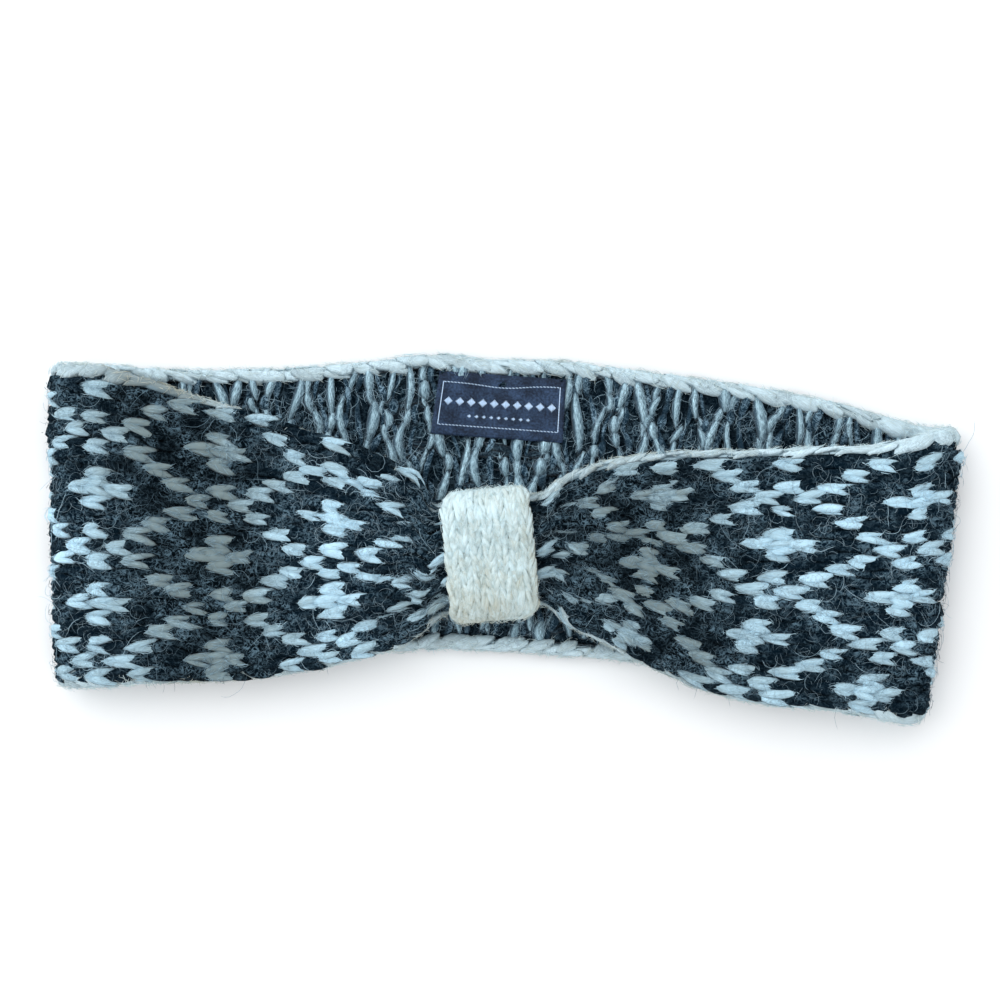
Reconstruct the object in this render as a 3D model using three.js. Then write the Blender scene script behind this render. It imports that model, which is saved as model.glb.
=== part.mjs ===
// A knitted ear warmer headband, lying flat as it does on a table.
//
// The object is one wide knitted loop. Its front is gathered and held by a small cream wrap, its
// two long edges end in a white chain edging, and a woven label sits inside the back.
// Millimetres. X runs along the folded loop, Y across the knit, Z up from the table.
// The origin is the middle of the bounding box, on the table.

import * as THREE from 'three';

// Driving dimensions of the loop
const LOOP_LENGTH = 255; // from fold to fold, as it lies
const BAND_WIDTH = 88.7; // across the knit at the left fold, edging included
const WALL = 4; // thickness of the stranded knit
const LAYER_GAP = 8; // hollow between the front and the back layer
const RIGHT_LEAN = 9.6; // how far the right fold line leans in at its lower end
const LEFT_LEAN = 1.7; // the same for the left fold line
const CLEARANCE = 0.3; // the gap between two pieces that touch

// Edging: a chain of white stitches along each long edge, which curls to the inside
const EDGING_WIDTH = 3.8;
const EDGING_HEIGHT = 3.6;
const EDGING_CURL = 1.6; // from the wall's middle to the chain's, towards the inside
const EDGING_SHOWS = 0.9; // how much of the chain shows past the outer stitches
const LIP_WIDTH = 1.2; // the rounded lip of outer stitches over the chain
const LIP_HEIGHT = 0.6; // where the lip begins, as a share of half the wall

// Wrap: a short knitted strip closed round the gathered front
const WRAP_WIDTH = 25;
const WRAP_WALL = 2.8;
const WRAP_DOME = 0.7; // how far its middle stands proud of its rims
const WRAP_X = -4.2; // its middle
const WRAP_Y = -4.6;
const WRAP_TILT = THREE.MathUtils.degToRad(5.5);

// Knot: the bunched front inside the wrap
const KNOT_WIDTH = 30.2;
const KNOT_THICKNESS = 9.6;
const KNOT_CLEARANCE = 0.4; // between the knot and the wrap's inside
const HELD_MARGIN = 0.8; // how far outside its rims the wrap still holds the knot
const SPLAY_LENGTH = 7; // from there to where the outline is fully its own
const GATHER_LENGTH = 58; // from the wrap's rim to where the last pleat fades out

// Label: a woven strip folded at its lower edge, sewn on by its upper one
const LABEL_WIDTH = 35.4;
const LABEL_HEIGHT = 17.6;
const LABEL_THICKNESS = 1.2;
const LABEL_X = -1.2;
const LABEL_TILT = THREE.MathUtils.degToRad(-4.1);

// How finely the soft shapes are divided
const SIDE_STEPS = 22;
const HELD_STEPS = 5;
const CROWDING = 1.35; // steps crowd towards the wrap by this power
const BACK_STEPS = 26;
const FOLD_STEPS = 6;
const ACROSS_STEPS = 17;
const EDGING_SIDES = 8;
const HOLLOW_STEPS = 3;
const WRAP_STEPS = 40;
const LABEL_STEPS = 6;

// Outline of each layer. at: share of the half length, from the left fold to the right one.
// upper, lower: where the long edges lie, in shares of the band's width. rise: how far the layer
// lifts or sags, in shares of the gap.
const FRONT_OUTLINE = [
  { at: -1.0, upper: 0.535, lower: -0.46, rise: 0 },
  { at: -0.94, upper: 0.53, lower: -0.457, rise: 0.02 },
  { at: -0.88, upper: 0.508, lower: -0.451, rise: 0.02 },
  { at: -0.77, upper: 0.463, lower: -0.447, rise: -0.03 },
  { at: -0.66, upper: 0.416, lower: -0.443, rise: -0.06 },
  { at: -0.55, upper: 0.368, lower: -0.431, rise: -0.05 },
  { at: -0.44, upper: 0.319, lower: -0.409, rise: 0 },
  { at: -0.33, upper: 0.269, lower: -0.378, rise: 0.03 },
  { at: -0.22, upper: 0.207, lower: -0.334, rise: 0.02 },
  { at: -0.135, upper: 0.16, lower: -0.277, rise: 0 },
  { at: 0.07, upper: 0.14, lower: -0.226, rise: 0 },
  { at: 0.12, upper: 0.176, lower: -0.238, rise: 0 },
  { at: 0.2, upper: 0.225, lower: -0.279, rise: 0 },
  { at: 0.3, upper: 0.253, lower: -0.34, rise: -0.04 },
  { at: 0.42, upper: 0.266, lower: -0.418, rise: -0.04 },
  { at: 0.53, upper: 0.272, lower: -0.48, rise: 0.01 },
  { at: 0.64, upper: 0.275, lower: -0.512, rise: 0.03 },
  { at: 0.75, upper: 0.28, lower: -0.526, rise: 0.02 },
  { at: 0.86, upper: 0.288, lower: -0.542, rise: 0.02 },
  { at: 0.94, upper: 0.303, lower: -0.556, rise: 0 },
  { at: 1.0, upper: 0.327, lower: -0.568, rise: 0 },
];
const BACK_OUTLINE = [
  { at: -1.0, upper: 0.54, lower: -0.455 },
  { at: -0.88, upper: 0.532, lower: -0.427 },
  { at: -0.66, upper: 0.524, lower: -0.388 },
  { at: -0.44, upper: 0.536, lower: -0.364 },
  { at: -0.22, upper: 0.565, lower: -0.35 },
  { at: -0.13, upper: 0.573, lower: -0.348 },
  { at: -0.04, upper: 0.56, lower: -0.352 },
  { at: 0.1, upper: 0.556, lower: -0.361 },
  { at: 0.25, upper: 0.532, lower: -0.374 },
  { at: 0.42, upper: 0.505, lower: -0.4 },
  { at: 0.55, upper: 0.479, lower: -0.427 },
  { at: 0.7, upper: 0.445, lower: -0.461 },
  { at: 0.86, upper: 0.389, lower: -0.508 },
  { at: 0.94, upper: 0.355, lower: -0.54 },
  { at: 1.0, upper: 0.34, lower: -0.566 },
];

// Pleats of the gathered front. across: the valley's place, as a share from the lower edge to the
// upper one. depth: share of the wall. spread: half the valley's width, in the same shares as across.
// left, right: how far it runs out of the wrap on each side, in shares of the gather's length.
const PLEAT_INSIDE = 0.5; // how much of a pleat's depth shows on the inner face
const PLEATS = [
  { across: 0.17, depth: 0.5, spread: 0.06, left: 0.75, right: 0.6 },
  { across: 0.38, depth: 0.62, spread: 0.055, left: 0.95, right: 0.8 },
  { across: 0.6, depth: 0.58, spread: 0.055, left: 0.7, right: 1.0 },
  { across: 0.82, depth: 0.48, spread: 0.06, left: 1.0, right: 0.7 },
];

const mix = THREE.MathUtils.lerp;
const smooth = THREE.MathUtils.smoothstep;

// One column of an outline table as a smooth function of the place along the loop.
function column(rows, name) {
  const last = rows.length - 1;
  return (at) => {
    const next = rows.findIndex((row) => row.at >= at);
    const i = next < 0 ? last - 1 : Math.max(next - 1, 0);
    const [before, from, to, after] = [i - 1, i, i + 1, i + 2].map(
      (k) => rows[THREE.MathUtils.clamp(k, 0, last)],
    );
    const step = to.at - from.at;
    const t = THREE.MathUtils.clamp((at - from.at) / step, 0, 1);
    const slopeFrom = ((to[name] - before[name]) / (to.at - before.at)) * step;
    const slopeTo = ((after[name] - from[name]) / (after.at - from.at)) * step;
    const bend = t * t * (3 - 2 * t);
    return (
      mix(from[name], to[name], bend) +
      slopeFrom * t * (1 - t) * (1 - t) -
      slopeTo * t * t * (1 - t)
    );
  };
}

// The fold: a half circle that joins the two layers' middles.
const foldRadius = (LAYER_GAP + WALL) / 2;
const foldCentreZ = WALL / 2 + foldRadius;
const knotMiddleZ = WALL + CLEARANCE + WRAP_WALL + KNOT_CLEARANCE + KNOT_THICKNESS / 2;

// Where the flat stretch of the loop ends on each side. across: 0 lower edge, 1 upper edge.
const foldInset = foldRadius + WALL / 2;
const leftEnd = (across) => -LOOP_LENGTH / 2 + LEFT_LEAN * (1 - across) + foldInset;
const rightEnd = (across) => LOOP_LENGTH / 2 - RIGHT_LEAN * (1 - across) - foldInset;
const placeX = (at, across) => mix(leftEnd(across), rightEnd(across), (at + 1) / 2);

// How far a place lies outside the held stretch, in millimetres. The wrap's tilt shifts its edges.
const heldHalf = WRAP_WIDTH / 2 + HELD_MARGIN;
function fromHeld(at, across) {
  const shift = (across - 0.5) * KNOT_WIDTH * Math.sin(WRAP_TILT);
  return Math.abs(placeX(at, across) - WRAP_X + shift) - heldHalf;
}

// 1 in the wrap, falling to 0 a given length outside the held stretch.
const gathered = (at, across, length) => 1 - smooth(fromHeld(at, across), 0, length);

const frontUpper = column(FRONT_OUTLINE, 'upper');
const frontLower = column(FRONT_OUTLINE, 'lower');
const frontRise = column(FRONT_OUTLINE, 'rise');
const backUpper = column(BACK_OUTLINE, 'upper');
const backLower = column(BACK_OUTLINE, 'lower');

// The front's long edge: its own outline, drawn in to the knot's width inside the wrap.
function frontEdge(at, upper) {
  const own = (upper ? frontUpper : frontLower)(at) * BAND_WIDTH;
  const across = upper ? 1 : 0;
  const lean = (placeX(at, across) - WRAP_X) * Math.tan(WRAP_TILT);
  const held = WRAP_Y + lean + (across - 0.5) * KNOT_WIDTH;
  return mix(own, held, gathered(at, across, SPLAY_LENGTH));
}

// The front's places from left to right, with one at each end of the held stretch.
function frontPlaces() {
  const [start, end] = [-1, 1].map((side) => {
    const x = WRAP_X + side * heldHalf;
    return mix(-1, 1, (x - leftEnd(0.5)) / (rightEnd(0.5) - leftEnd(0.5)));
  });
  const places = [];
  for (let i = 0; i <= SIDE_STEPS; i += 1) {
    places.push(mix(start, -1, (1 - i / SIDE_STEPS) ** CROWDING));
  }
  for (let i = 1; i < HELD_STEPS; i += 1) {
    places.push(mix(start, end, i / HELD_STEPS));
  }
  for (let i = 0; i <= SIDE_STEPS; i += 1) {
    places.push(mix(end, 1, (i / SIDE_STEPS) ** CROWDING));
  }
  return places;
}

// Stations round the loop: front layer, right fold, back layer, left fold.
// edge(upper): the edge's Y. turn: how far the wall has turned over, 0 on top, PI underneath.
function loopStations() {
  const stations = [];
  frontPlaces().forEach((at) => {
    stations.push({ at, turn: 0, edge: (upper) => frontEdge(at, upper) });
  });
  for (let i = 1; i < FOLD_STEPS; i += 1) {
    stations.push(foldStation(1, i / FOLD_STEPS));
  }
  for (let i = 0; i <= BACK_STEPS; i += 1) {
    const at = mix(1, -1, i / BACK_STEPS);
    const edge = (upper) => (upper ? backUpper : backLower)(at) * BAND_WIDTH;
    stations.push({ at, turn: Math.PI, edge });
  }
  for (let i = 1; i < FOLD_STEPS; i += 1) {
    stations.push(foldStation(-1, 1 - i / FOLD_STEPS));
  }
  return stations;
}

function foldStation(side, down) {
  const turn = Math.PI * down;
  const edge = (upper) => {
    const front = (upper ? frontUpper : frontLower)(side);
    const back = (upper ? backUpper : backLower)(side);
    return mix(front, back, down) * BAND_WIDTH;
  };
  return { at: side, turn, edge };
}

function pleatDepth(at, across) {
  const leftSide = placeX(at, 0.5) < WRAP_X;
  const valleys = PLEATS.map((pleat) => {
    const length = GATHER_LENGTH * (leftSide ? pleat.left : pleat.right);
    const away = (across - pleat.across) / pleat.spread;
    return pleat.depth * gathered(at, across, length) * Math.exp(-away * away);
  });
  return WALL * valleys.reduce((sum, depth) => sum + depth, 0);
}

// The wall's middle and its outward direction at a station.
function wallMiddle({ at, turn }, across) {
  const x = placeX(at, across) + Math.sign(at) * foldRadius * Math.sin(turn);
  const own = foldCentreZ + foldRadius * Math.cos(turn);
  if (turn > 0) return { x, z: own };
  const lifted = own + frontRise(at) * LAYER_GAP;
  return { x, z: mix(lifted, knotMiddleZ, gathered(at, across, SPLAY_LENGTH)) };
}

function wallNormal({ at, turn }) {
  return { x: Math.sign(at) * Math.sin(turn), z: Math.cos(turn) };
}

// A point at a height over the wall's middle, outwards.
function raisedPoint(station, y, across, height) {
  const middle = wallMiddle(station, across);
  const normal = wallNormal(station);
  return new THREE.Vector3(
    middle.x + normal.x * height,
    y,
    middle.z + normal.z * height,
  );
}

// A point on the outer face, where side is 1, or on the inner one, where it is -1.
function facePoint(station, y, across, side) {
  if (station.turn > 0) return raisedPoint(station, y, across, (side * WALL) / 2);
  const bunched = gathered(station.at, across, SPLAY_LENGTH);
  const swell = 1 - (2 * across - 1) ** 4;
  const half = mix(WALL, KNOT_THICKNESS, bunched * swell) / 2;
  const share = side > 0 ? 1 : PLEAT_INSIDE * (1 - bunched);
  return raisedPoint(station, y, across, side * half - share * pleatDepth(station.at, across));
}

// How much wider a strip along an edge measures in Y where the edge runs at an angle.
function slantFactor(stations, i, upper) {
  const count = stations.length;
  const [a, b] = [stations[(i + count - 1) % count], stations[(i + 1) % count]];
  const across = upper ? 1 : 0;
  const run = Math.hypot(
    wallMiddle(b, across).x - wallMiddle(a, across).x,
    wallMiddle(b, across).z - wallMiddle(a, across).z,
  );
  return Math.hypot(1, (b.edge(upper) - a.edge(upper)) / run);
}

// A closed body from rings of points that follow one another round a loop.
function loopBody(rings) {
  const size = rings[0].length;
  const index = [];
  rings.forEach((ring, i) => {
    const next = (i + 1) % rings.length;
    for (let j = 0; j < size; j += 1) {
      const k = (j + 1) % size;
      const [a, b] = [i * size + j, i * size + k];
      const [c, d] = [next * size + k, next * size + j];
      index.push(a, c, b, a, d, c);
    }
  });
  const geometry = new THREE.BufferGeometry().setFromPoints(rings.flat());
  geometry.setIndex(index);
  geometry.computeVertexNormals();
  return geometry;
}

function cloth(color, roughness) {
  return new THREE.MeshStandardMaterial({ color, roughness, metalness: 0 });
}

// Band: the stranded knit. Each long edge hollows out round the edging that curls under it.
function bandBody(stations) {
  const hollow = [];
  for (let k = 1; k <= HOLLOW_STEPS; k += 1) {
    const turn = ((k / HOLLOW_STEPS) * Math.PI) / 2;
    const inset = EDGING_WIDTH / 2 + (EDGING_WIDTH / 2 + CLEARANCE) * Math.cos(turn);
    const height = (EDGING_HEIGHT / 2 + CLEARANCE) * Math.sin(turn) - EDGING_CURL;
    hollow.push({ inset, height });
  }
  hollow.push({ inset: EDGING_SHOWS, height: (WALL / 2) * LIP_HEIGHT });
  const rings = stations.map((station, i) => {
    const edgeY = (upper, inset) => {
      const slanted = inset * slantFactor(stations, i, upper);
      return station.edge(upper) + (upper ? -slanted : slanted);
    };
    const face = (side, inset) => {
      const points = [];
      for (let j = 0; j < ACROSS_STEPS; j += 1) {
        const across = j / (ACROSS_STEPS - 1);
        const y = mix(edgeY(false, inset), edgeY(true, inset), across);
        points.push(facePoint(station, y, across, side));
      }
      return points;
    };
    const lip = (upper) =>
      hollow.map(({ inset, height }) =>
        raisedPoint(station, edgeY(upper, inset), upper ? 1 : 0, height),
      );
    const inner = face(-1, EDGING_WIDTH + CLEARANCE);
    const outer = face(1, EDGING_SHOWS + LIP_WIDTH);
    return [...inner.reverse(), ...lip(false), ...outer, ...lip(true).reverse()];
  });
  return loopBody(rings);
}

// Edging: an oval cord of chain stitches that follows one long edge all the way round.
function edgingBody(stations, upper) {
  const rings = stations.map((station, i) => {
    const slant = slantFactor(stations, i, upper) * (upper ? -1 : 1);
    const ring = [];
    for (let j = 0; j < EDGING_SIDES; j += 1) {
      const turn = (2 * Math.PI * (j + 0.5)) / EDGING_SIDES;
      const inset = (EDGING_WIDTH / 2) * (1 + Math.cos(turn));
      const height = (EDGING_HEIGHT / 2) * Math.sin(turn) - EDGING_CURL;
      const y = station.edge(upper) + inset * slant;
      ring.push(raisedPoint(station, y, upper ? 1 : 0, height));
    }
    return upper ? ring : ring.reverse();
  });
  return loopBody(rings);
}

// Wrap: a ring with a flat oval hole, soft rims and a slightly domed outside.
function wrapBody() {
  const holeY = KNOT_WIDTH / 2 + KNOT_CLEARANCE;
  const holeZ = KNOT_THICKNESS / 2 + KNOT_CLEARANCE;
  // x: share of the width from the middle. out: share of the wall. dome: share of the dome.
  const profile = [
    { x: -0.42, out: 0, dome: 0 },
    { x: 0, out: 0, dome: 0 },
    { x: 0.42, out: 0, dome: 0 },
    { x: 0.5, out: 0.25, dome: 0 },
    { x: 0.5, out: 0.65, dome: 0 },
    { x: 0.44, out: 1, dome: 0 },
    { x: 0.26, out: 1, dome: 0.75 },
    { x: 0, out: 1, dome: 1 },
    { x: -0.26, out: 1, dome: 0.75 },
    { x: -0.44, out: 1, dome: 0 },
    { x: -0.5, out: 0.65, dome: 0 },
    { x: -0.5, out: 0.25, dome: 0 },
  ];
  const rings = [];
  for (let i = 0; i < WRAP_STEPS; i += 1) {
    const { y, z, normal } = ovalPoint(i / WRAP_STEPS, holeY, holeZ);
    const onTop = Math.max(normal.y, 0);
    rings.push(
      profile.map((row) => {
        const out = row.out * WRAP_WALL + row.dome * WRAP_DOME * onTop;
        return new THREE.Vector3(row.x * WRAP_WIDTH, y + normal.x * out, z + normal.y * out);
      }),
    );
  }
  return loopBody(rings);
}

// A point of an oval with straight long sides and round ends, and its outward direction in Y, Z.
function ovalPoint(share, halfLength, halfHeight) {
  const straight = 2 * (halfLength - halfHeight);
  const round = Math.PI * halfHeight;
  const total = 2 * (straight + round);
  let along = share * total;
  let side = 1;
  if (along >= total / 2) {
    along -= total / 2;
    side = -1;
  }
  if (along < straight) {
    const y = side * (along - straight / 2);
    return { y, z: side * halfHeight, normal: new THREE.Vector2(0, side) };
  }
  const turn = (along - straight) / halfHeight;
  const normal = new THREE.Vector2(Math.sin(turn), Math.cos(turn)).multiplyScalar(side);
  return {
    y: side * (straight / 2) + normal.x * halfHeight,
    z: normal.y * halfHeight,
    normal,
  };
}

// Label: the folded strip seen from its end, extruded along its width.
function labelBody() {
  const radius = LABEL_THICKNESS / 2;
  const bottom = -LABEL_HEIGHT / 2;
  const outline = new THREE.Shape();
  outline.moveTo(LABEL_HEIGHT / 2, 0);
  outline.lineTo(LABEL_HEIGHT / 2, LABEL_THICKNESS);
  outline.lineTo(bottom + radius, LABEL_THICKNESS);
  outline.absarc(bottom + radius, radius, radius, Math.PI / 2, (3 * Math.PI) / 2, false);
  outline.closePath();
  const geometry = new THREE.ExtrudeGeometry(outline, {
    depth: LABEL_WIDTH,
    bevelEnabled: false,
    curveSegments: LABEL_STEPS,
  });
  geometry.translate(0, 0, -LABEL_WIDTH / 2);
  // The outline's X becomes Y and its Y becomes Z, so the extrusion runs along X.
  const axes = new THREE.Matrix4().makeBasis(
    new THREE.Vector3(0, 1, 0),
    new THREE.Vector3(0, 0, 1),
    new THREE.Vector3(1, 0, 0),
  );
  return geometry.applyMatrix4(axes);
}

// The label hangs from the back's upper edging, whose nearest point sets its height.
function labelCentreY() {
  const half = LABEL_WIDTH / 2;
  const corners = [-half, 0, half].map((offset) => {
    const x = LABEL_X + offset * Math.cos(LABEL_TILT);
    const at = mix(-1, 1, (x - leftEnd(1)) / (rightEnd(1) - leftEnd(1)));
    const edge = backUpper(at) * BAND_WIDTH - EDGING_WIDTH - CLEARANCE;
    return edge - offset * Math.sin(LABEL_TILT);
  });
  return Math.min(...corners) - (LABEL_HEIGHT / 2) * Math.cos(LABEL_TILT);
}

function named(name, geometry, material) {
  const mesh = new THREE.Mesh(geometry, material);
  mesh.name = name;
  return mesh;
}

const blackKnit = cloth(0x1b2127, 0.95);
const whiteYarn = cloth(0xd9e2e4, 0.95);
const creamKnit = cloth(0xe9e6da, 0.95);
const slateWeave = cloth(0x3d3f4d, 0.7);

const stations = loopStations();

const wrap = named('wrap', wrapBody(), creamKnit);
wrap.position.set(WRAP_X, WRAP_Y, knotMiddleZ);
wrap.rotation.z = WRAP_TILT;

const label = named('label', labelBody(), slateWeave);
label.position.set(LABEL_X, labelCentreY(), WALL + CLEARANCE);
label.rotation.z = LABEL_TILT;

const headband = new THREE.Group();
headband.add(
  named('band', bandBody(stations), blackKnit),
  named('edging_upper', edgingBody(stations, true), whiteYarn),
  named('edging_lower', edgingBody(stations, false), whiteYarn),
  wrap,
  label,
);

// The origin goes to the middle of the bounding box, on the table.
const box = new THREE.Box3().setFromObject(headband, true);
const middle = box.getCenter(new THREE.Vector3());
headband.position.set(-middle.x, -middle.y, -box.min.z);

export default headband;
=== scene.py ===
# %% [markdown]
# # A knitted ear warmer headband
# The real thing is one wide loop of stranded knitting in a dark and a white wool. It lies flat on
# a table, folded into a front and a back layer. A small cream strip gathers the front, a white
# chain of stitches runs along both long edges, and a woven label is sewn inside the back.
# This lesson dresses the packed CAD model with yarn, fuzz and cloth, in the same metres and frame.

# %% The frame and the tools
import math

import bpy
import numpy as np
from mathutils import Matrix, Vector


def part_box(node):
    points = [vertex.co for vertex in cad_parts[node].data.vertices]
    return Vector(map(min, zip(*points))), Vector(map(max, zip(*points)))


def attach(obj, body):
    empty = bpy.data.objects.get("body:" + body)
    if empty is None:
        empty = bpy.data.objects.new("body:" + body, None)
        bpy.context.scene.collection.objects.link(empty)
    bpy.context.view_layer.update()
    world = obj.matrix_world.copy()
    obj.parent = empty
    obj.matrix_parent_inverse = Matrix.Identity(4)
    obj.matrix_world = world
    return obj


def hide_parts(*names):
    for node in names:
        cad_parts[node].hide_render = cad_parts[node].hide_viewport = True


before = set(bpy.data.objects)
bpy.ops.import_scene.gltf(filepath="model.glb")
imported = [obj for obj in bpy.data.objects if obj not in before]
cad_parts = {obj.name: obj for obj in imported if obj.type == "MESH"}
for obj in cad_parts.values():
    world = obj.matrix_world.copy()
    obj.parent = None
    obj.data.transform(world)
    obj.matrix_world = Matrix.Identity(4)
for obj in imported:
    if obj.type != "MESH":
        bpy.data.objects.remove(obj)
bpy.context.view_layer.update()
METRES = 0.001  # the lesson counts in millimetres, and Blender in metres
print("CAD nodes:", sorted(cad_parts))

# %% [markdown]
# ## The camera
# The photograph looks straight down at the table. A long lens keeps the sides of the folds from
# showing too much, and the distance makes the picture as wide as the photograph's.

# %% The camera above the table
LENS = 100.0
SENSOR = 36.0
VIEW_WIDTH = 277.2
VIEW_HEIGHT_ABOVE_TABLE = 12.0
VIEW_CENTRE = (-1.4, 10.3)
camera = bpy.data.objects.new("camera", bpy.data.cameras.new("camera"))
bpy.context.collection.objects.link(camera)
camera.data.lens = LENS
camera.data.sensor_width = SENSOR
camera_height = VIEW_WIDTH * LENS / SENSOR + VIEW_HEIGHT_ABOVE_TABLE
camera.location = (VIEW_CENTRE[0] * METRES, VIEW_CENTRE[1] * METRES, camera_height * METRES)
bpy.context.scene.camera = camera
print("camera height in mm:", camera_height)

# %% [markdown]
# ## Shader maths
# A finish is a graph of nodes. One could add and link each node by hand, which hides the idea
# behind the wiring. Here a small class wraps a socket, so that an expression such as
# `1 - mask * 0.5` adds its own Math nodes, and one method adds every other kind of node.


# %% A socket that can be used in an expression
class Finish:
    """A material's tree and one socket of it."""

    def __init__(self, tree, socket=None):
        self.tree = tree
        self.socket = socket

    def node(self, kind, settings=(), sockets=(), output=0):
        """Adds one node. Its settings come first, then the values or links of its sockets."""
        made = self.tree.nodes.new("ShaderNode" + kind)
        for key, value in dict(settings).items():
            setattr(made, key, value)
        for key, value in dict(sockets).items():
            if isinstance(value, Finish):
                self.tree.links.new(value.socket, made.inputs[key])
            else:
                made.inputs[key].default_value = value
        socket = made.outputs[output] if len(made.outputs) else None
        return Finish(self.tree, socket)

    def math(self, operation, *values, clamp=False):
        settings = {"operation": operation, "use_clamp": clamp}
        return self.node("Math", settings, enumerate(values))

    def clamped(self):
        return self.math("ADD", self, 0.0, clamp=True)

    def __add__(self, other):
        return self.math("ADD", self, other)

    def __sub__(self, other):
        return self.math("SUBTRACT", self, other)

    def __rsub__(self, other):
        return self.math("SUBTRACT", other, self)

    def __mul__(self, other):
        return self.math("MULTIPLY", self, other)

    def __abs__(self):
        return self.math("ABSOLUTE", self)

    __radd__ = __add__
    __rmul__ = __mul__

    def mix(self, factor, one, other):
        """A colour between two colours."""
        return self.node("Mix", {"data_type": "RGBA"}, {0: factor, 6: one, 7: other}, 2)

    def scaled(self, factors):
        """This vector, with each part multiplied by its own factor."""
        return self.node("VectorMath", {"operation": "MULTIPLY"}, {0: self, 1: factors})

    def noise(self, scale, detail, distortion=0.0):
        """A noise over this vector."""
        sockets = {"Vector": self, "Scale": scale, "Detail": detail, "Distortion": distortion}
        return self.node("TexNoise", sockets=sockets)

    def attribute(self, name):
        """A number that the mesh carries at each vertex."""
        return self.node("Attribute", {"attribute_name": name}, output="Fac")

    def surface(self, sockets):
        """Ends the tree with a shader that has these sockets."""
        shader = self.node("BsdfPrincipled", sockets=sockets)
        self.node("OutputMaterial", sockets={"Surface": shader})


print("shader nodes are added by:", [name for name in vars(Finish) if name[0] != "_"])


# %% A new finish and the colours of a screen
def new_finish(name):
    """A material with an empty tree."""
    material = bpy.data.materials.new(name)
    material.use_nodes = True
    material.node_tree.nodes.clear()
    return material, Finish(material.node_tree)


def shade(red, green, blue):
    """A colour from the 0 to 255 values that a screen shows."""
    values = np.array((red, green, blue)) / 255
    linear = np.where(values <= 0.04045, values / 12.92, ((values + 0.055) / 1.055) ** 2.4)
    return (*linear.tolist(), 1.0)


print("middle grey in linear light:", shade(128, 128, 128))

# %% [markdown]
# ## Wool
# Close up, this wool is a soft core of fibres with a haze of fine curly hairs. A photograph of
# wool could be laid over it, but a few noises do it with no file and at any size. The core gets
# streaks along the yarn, from a noise stretched over the yarn's own coordinates. The hairs are
# thin lines where a noise crosses its middle value, which curl and cross as real ones do.

# %% A wool finish
STREAK_SCALE = (0.4, 4.5, 1.0)  # per mm along the yarn and round it
FRAY_SCALE = (0.7, 6.0, 1.0)
COARSE_SHIFT = (31.0, 17.0, 5.0)  # keeps the coarse hairs from following the fine ones
FINE_HAIRS = (0.62, 15.0)  # their noise's scale per mm, and how thin the lines are
COARSE_HAIRS = (0.4, 19.0)


def hair_lines(place, scale, sharpness):
    """1 on thin curly lines, 0 elsewhere."""
    return (1 - abs(place.noise(scale, 1.0, 1.4) - 0.5) * sharpness).clamped()


def wool(name, core, dim, hair, hair_amount, sheen, relief, behind=None, fray=0.0):
    """core, dim: the yarn's colours. hair, hair_amount: the haze of fibres on it.
    behind, fray: the colour of the shade painted at a strand's sides, with a ragged felted edge,
    and where that edge starts."""
    material, finish = new_finish(name)
    place = finish.node("TexCoord", output="Object").scaled((1 / METRES,) * 3)
    moved = finish.node("VectorMath", {"operation": "ADD"}, {0: place, 1: COARSE_SHIFT})
    along = finish.node("UVMap", {"uv_map": "Yarn"})
    strand = finish.attribute("strand")
    streaks = along.scaled(STREAK_SCALE).noise(1.0, 3.0)
    clouds = place.noise(0.16, 2.0)
    # The next attribute paints shade in the front's valleys and highlights on its brightest
    # stretches, partly dark fibres felted over the white.
    wear_and_shade = finish.attribute("wear_and_shade")
    fine = hair_lines(place, *FINE_HAIRS)
    coarse = hair_lines(moved, *COARSE_HAIRS)
    patches = (clouds * 4.5 - 1.8).clamped()
    haze = (fine * 0.65 + coarse * 0.9).clamped() * (patches * 0.85 + 0.15) * hair_amount
    light = (streaks * 1.3 - 0.02 + (strand - 0.5) * 0.35 + (clouds - 0.5) * 0.4 - wear_and_shade).clamped()
    colour = finish.mix(light, shade(*dim), shade(*core))
    if behind:
        # Where the rim rises the colour turns to behind: shade painted down the strand's sides,
        # with a ragged edge.
        torn = along.scaled(FRAY_SCALE).noise(1.0, 4.0)
        gap = ((finish.attribute("rim") - fray) * 2.2 + (torn - 0.5) * 4.5).clamped()
        colour = finish.mix(gap, colour, shade(*behind))
    relief_height = streaks + fine * 0.35
    sockets = {"Strength": relief, "Distance": 0.0004, "Height": relief_height}
    finish.surface(
        {
            "Base Color": finish.mix(haze, colour, shade(*hair)),
            "Roughness": 0.92 - streaks * 0.08,
            "Normal": finish.node("Bump", sockets=sockets),
            "Sheen Weight": sheen,
            "Sheen Roughness": 0.6,
            "Specular IOR Level": 0.03,
        }
    )
    return material


print("hairs cross every", round(1 / FINE_HAIRS[0], 1), "mm or so")

# %% [markdown]
# ## The wools of this headband
# The dark wool is almost black, the white one is a cool white that dark fibres have dulled, and the
# wrap's is cream. Each could get its colours straight in its own tree. One table of them keeps all
# the colours in sight, so that they can be set against each other.

# %% The wool finishes
DEEP_SHADE = (10, 28, 40)
GREY_HAIR = (112, 134, 148)
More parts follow.
